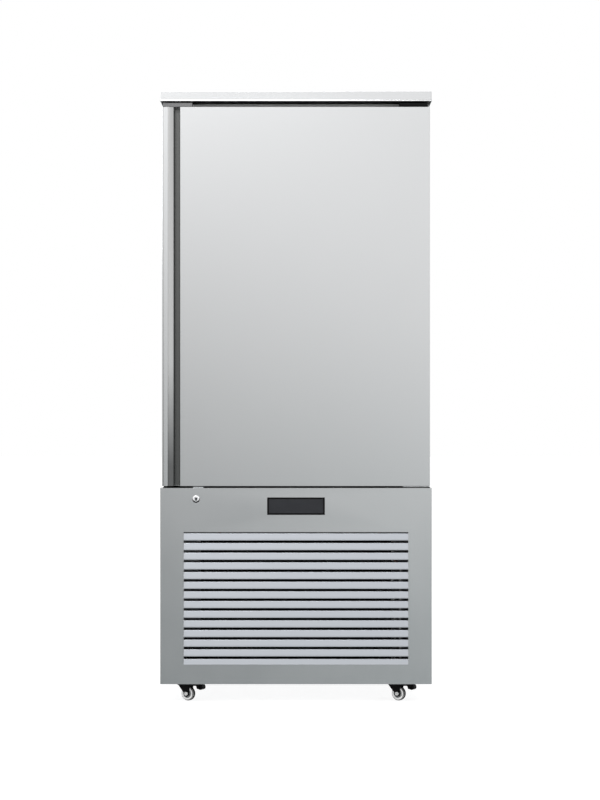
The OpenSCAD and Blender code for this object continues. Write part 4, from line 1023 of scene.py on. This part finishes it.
def make_wheel(corner):
    """Thin tyre round a broad white rim, with a recessed grey hub on each face."""
    node, body = "castor_wheel_" + corner, "wheel_" + corner
    low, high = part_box(node)
    centre = (low + high) / 2
    axis = wheel_axis(corner)
    radius = (high.z - low.z) / 2
    half_width, tread, ring, bore = 9 * MM, 5.0 * MM, 13.2 * MM, 3.6 * MM
    rim, face, web = radius - 1.0 * MM, half_width - 0.9 * MM, half_width - 4.3 * MM
    outline = rounded_outline(radius, -tread, tread, 1.2 * MM, inner=rim - 0.8 * MM)
    tyre = lathe(outline, centre, axis, 64)
    piece("tyre_" + corner, tyre, body, "tyre_black", (node,))
    half = [
        (bore, face - 0.6 * MM), (7.4 * MM, face - 0.6 * MM), (8.0 * MM, face - 1.2 * MM),
        (8.4 * MM, web), (ring - 1.0 * MM, web), (ring - 0.5 * MM, face - 0.7 * MM), (ring, face),
        (rim - 1.6 * MM, face), (rim - 0.6 * MM, face - 0.5 * MM), (rim, face - 1.6 * MM),
        (rim, tread + 0.1 * MM), (rim - 0.6 * MM, tread + 0.1 * MM),
    ]
    outline = half + [(r, -h) for r, h in reversed(half)]
    hub = piece(
        "wheel_hub_" + corner, lathe(outline, centre, axis, 64), body,
        "castor_wheel", (node,),
    )

    def reach(middle):
        offset = middle - centre
        return (offset - axis * offset.dot(axis)).length

    def on_outline(middle, normal):
        beside = abs((middle - centre).dot(axis)) > tread + 1 * MM
        return beside and rim - 1.4 * MM < reach(middle) < rim - 0.2 * MM

    refinish(hub, "hub_grey", lambda middle, normal: reach(middle) < ring - 0.6 * MM)
    refinish(hub, "tyre_black", on_outline)
    return centre, axis


def make_fork(corner, centre, axis):
    """Folded fork with zinc bolts."""
    leg_outside, bolt = 12.5 * MM, 7 * MM
    fork = softened("castor_fork_" + corner, 0.5 * MM)

    def on_bolt(middle, normal):
        along = (middle - centre).dot(axis)
        reach = (middle - centre - axis * along).length
        return abs(along) > leg_outside + 0.15 * MM and reach < bolt

    refinish(fork, "bolt_zinc", on_bolt)


def make_castors():
    """Wheels, forks, and a black pad round each swivel race."""
    half, corner_radius, lift = 38 * MM, 6 * MM, 0.3 * MM
    low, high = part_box("castor_plates")
    for corner in CASTORS:
        centre, axis = make_wheel(corner)
        make_fork(corner, centre, axis)
        x = low.x + half if corner[1] == "l" else high.x - half
        y = low.y + half if corner[0] == "f" else high.y - half
        pad = block((x - half, y - half, low.z + lift), (x + half, y + half, high.z - 2 * MM))
        round_off(pad, [e for e in pad.edges if runs_along(e, Z)], corner_radius, 5)
        piece("castor_pad_" + corner, pad, "cabinet", "castor_black")


# ---------- Studio ----------


def make_camera():
    """The photograph's level view from in front."""
    width, height = PHOTO_SIZE
    data = bpy.data.cameras.new("camera")
    data.sensor_width = SENSOR
    data.lens = SENSOR * CAMERA_DISTANCE / (height * MM_PER_PIXEL * MM)
    data.clip_end = 100
    camera = bpy.data.objects.new("camera", data)
    camera.location = (
        (width / 2 - CABINET_MIDDLE_PX) * MM_PER_PIXEL * MM,
        FRONT - CAMERA_DISTANCE,
        PANEL_FOOT + (PANEL_FOOT_PX - height / 2) * MM_PER_PIXEL * MM,
    )
    camera.rotation_euler = (math.pi / 2, 0, 0)
    bpy.context.scene.collection.objects.link(camera)
    bpy.context.scene.camera = camera


# The room that metal mirrors: how high a way looks (its z), and the brightness there a little to
# the left of straight ahead, and a little to the right
ROOM = [
    (-1.0, 0.85, 0.85), (-0.42, 0.98, 0.98), (-0.28, 0.78, 0.80), (-0.22, 0.46, 0.50),
    (-0.17, 0.25, 0.31), (-0.13, 0.185, 0.235), (-0.084, 0.29, 0.42), (-0.036, 0.445, 0.635),
    (0.0, 0.58, 0.75), (0.021, 0.665, 0.835), (0.063, 0.865, 0.955), (0.13, 1.11, 0.92),
    (0.19, 1.10, 0.96), (0.30, 0.98, 0.98), (0.45, 1.02, 1.02), (1.0, 1.12, 1.12),
]
ROOM_COLUMNS = (-0.0463, 0.0505)
ROOM_LIMITS = (0.18, 1.25)
RAMP_TOP = 1.3  # brightness that the ramps hold as white
SCREEN_SHADE = 0.6
EVEN_LIGHT = 0.72
FLOOR_TINT = (0.89, 0.985, 1.0, 1)


def room_brightness(look, way):
    """What metal mirrors: two columns blended across, and dark screens at the sides in front."""
    across, along, up = way, way.output("Y"), way.output("Z")
    height = up * 0.5 + 0.5
    ramps = []
    for side in (1, 2):
        stops = [(0.5 + 0.5 * row[0], (row[side] / RAMP_TOP,) * 3) for row in ROOM]
        ramps.append(look.node("ValToRGB", {"Fac": height}, stops=stops))
    left, right = ramps
    left_column, right_column = ROOM_COLUMNS
    ahead = look.clamp(along * -2.0, 0.0, 1.0)
    share = (across - left_column) * (1 / (right_column - left_column))
    share = (look.clamp(share, -1.2, 2.2) - 0.5) * ahead + 0.5
    room = look.clamp((left + (right - left) * share) * RAMP_TOP, *ROOM_LIMITS)
    sideways = look.math("ABSOLUTE", across, 0)
    screens = look.clamp((sideways - 0.7) * 7, 0, 1) * look.clamp(along * -3 + 0.2, 0, 1)
    return room * (1 - screens * SCREEN_SHADE)


def make_world():
    """White to the camera; metal sees a room, and everything else an even light."""
    world = bpy.data.worlds.new("studio")
    bpy.context.scene.world = world
    look = Look(world)
    way = look.node("SeparateXYZ", {"Vector": look.node("TexCoord", out="Generated")})
    seen = look.node("LightPath", out="Is Camera Ray")
    sharp = look.clamp(seen.output("Is Glossy Ray") + seen.output("Is Transmission Ray"), 0, 1)
    unseen = sharp * room_brightness(look, way) + (1 - sharp) * EVEN_LIGHT
    up = way.output("Z")
    # A band just under the horizon takes the tint of the floor; the camera never sees it
    below = look.clamp(up * -12 - 0.1, 0, 1) * look.clamp(up * 8 + 2.4, 0, 1) * (1 - seen)
    colour = look.mix(below, (1, 1, 1, 1), FLOOR_TINT)
    sky = look.node("Background", {"Color": colour, "Strength": seen + (1 - seen) * unseen})
    look.node("OutputWorld", {"Surface": sky})


def make_lamp(name, place, target, size, power, mirrored=True):
    """A large soft lamp that points at a target."""
    data = bpy.data.lights.new(name, "AREA")
    data.shape = "RECTANGLE"
    data.size, data.size_y = size
    data.energy = power
    lamp = bpy.data.objects.new(name, data)
    lamp.location = place
    lamp.visible_camera = False
    lamp.visible_glossy = mirrored
    way = Vector(target) - Vector(place)
    lamp.rotation_euler = way.to_track_quat("-Z", "Y").to_euler()
    bpy.context.scene.collection.objects.link(lamp)


def make_floor():
    """Pale floor that takes the shadow and leaves no edge against the background."""
    half_side, glow_strength, glow_share = 30, 1.28, 0.65
    bm = bmesh.new()
    bmesh.ops.create_grid(bm, x_segments=1, y_segments=1, size=half_side)
    mesh = bpy.data.meshes.new("floor")
    bm.to_mesh(mesh)
    bm.free()
    look = new_look("floor")
    grain = look.noise((40, 40, 40))
    paint = look.mix(grain, tone(246, 246, 246), tone(250, 250, 250))
    lit = look.node("BsdfDiffuse", {"Color": paint})
    glow = look.node("Emission", {"Color": (1, 1, 1, 1), "Strength": glow_strength})
    ray = look.node("LightPath", out="Is Camera Ray")
    plain = look.node("MixShader", {0: ray * glow_share, 1: lit, 2: glow})
    clear = look.node("BsdfTransparent")
    shown = look.node("MixShader", {0: ray.output("Is Glossy Ray"), 1: plain, 2: clear})
    look.node("OutputMaterial", {"Surface": shown})
    mesh.materials.append(look.owner)
    floor = bpy.data.objects.new("floor", mesh)
    bpy.context.scene.collection.objects.link(floor)


def make_studio():
    """Camera, room, floor, and five soft lamps round the cabinet."""
    make_camera()
    make_world()
    make_floor()
    middle = (0, 0, 0.9)
    make_lamp("key_lamp", (-1.2, -4.6, 3.9), middle, (3.0, 1.4), 75)
    make_lamp("fill_lamp", (3.4, -3.6, 2.4), middle, (2.2, 2.2), 30, mirrored=False)
    make_lamp("back_lamp", (1.8, 4.6, 3.4), middle, (2.6, 2.2), 60, mirrored=False)
    make_lamp("side_lamp", (-4.2, 2.0, 2.6), middle, (2.0, 2.0), 30)
    make_lamp("foot_lamp", (-0.5, -2.6, 0.3), (0, -0.4, 0.05), (2.4, 0.3), 9, mirrored=False)


# ---------- Whole object ----------

LOOKS = make_finishes()


def dress_remaining_nodes():
    """Gives every node that still shows its finish."""
    for node in frame["nodes"].values():
        for slot in node.material_slots:
            slot.material = LOOKS[slot.material.name.split(".")[0]]


make_studio()
make_worktop()
make_side_panels()
make_front_panel()
make_plates()
make_front_frame()
make_door_foot_shade()
make_slats()
make_door()
make_grip_painted_shade()
make_gasket()
make_door_liner()
make_chamber_liner()
make_fan_guards()
make_inlet_rings()
for fan in ("evaporator_fan_lower", "evaporator_fan_upper", "condenser_fan"):
    make_fan(fan)
make_screws()
make_display()
make_lock()
make_cooling_circuit()
make_compressor()
make_castors()
dress_remaining_nodes()

bpy.context.scene.view_settings.view_transform = "Standard"
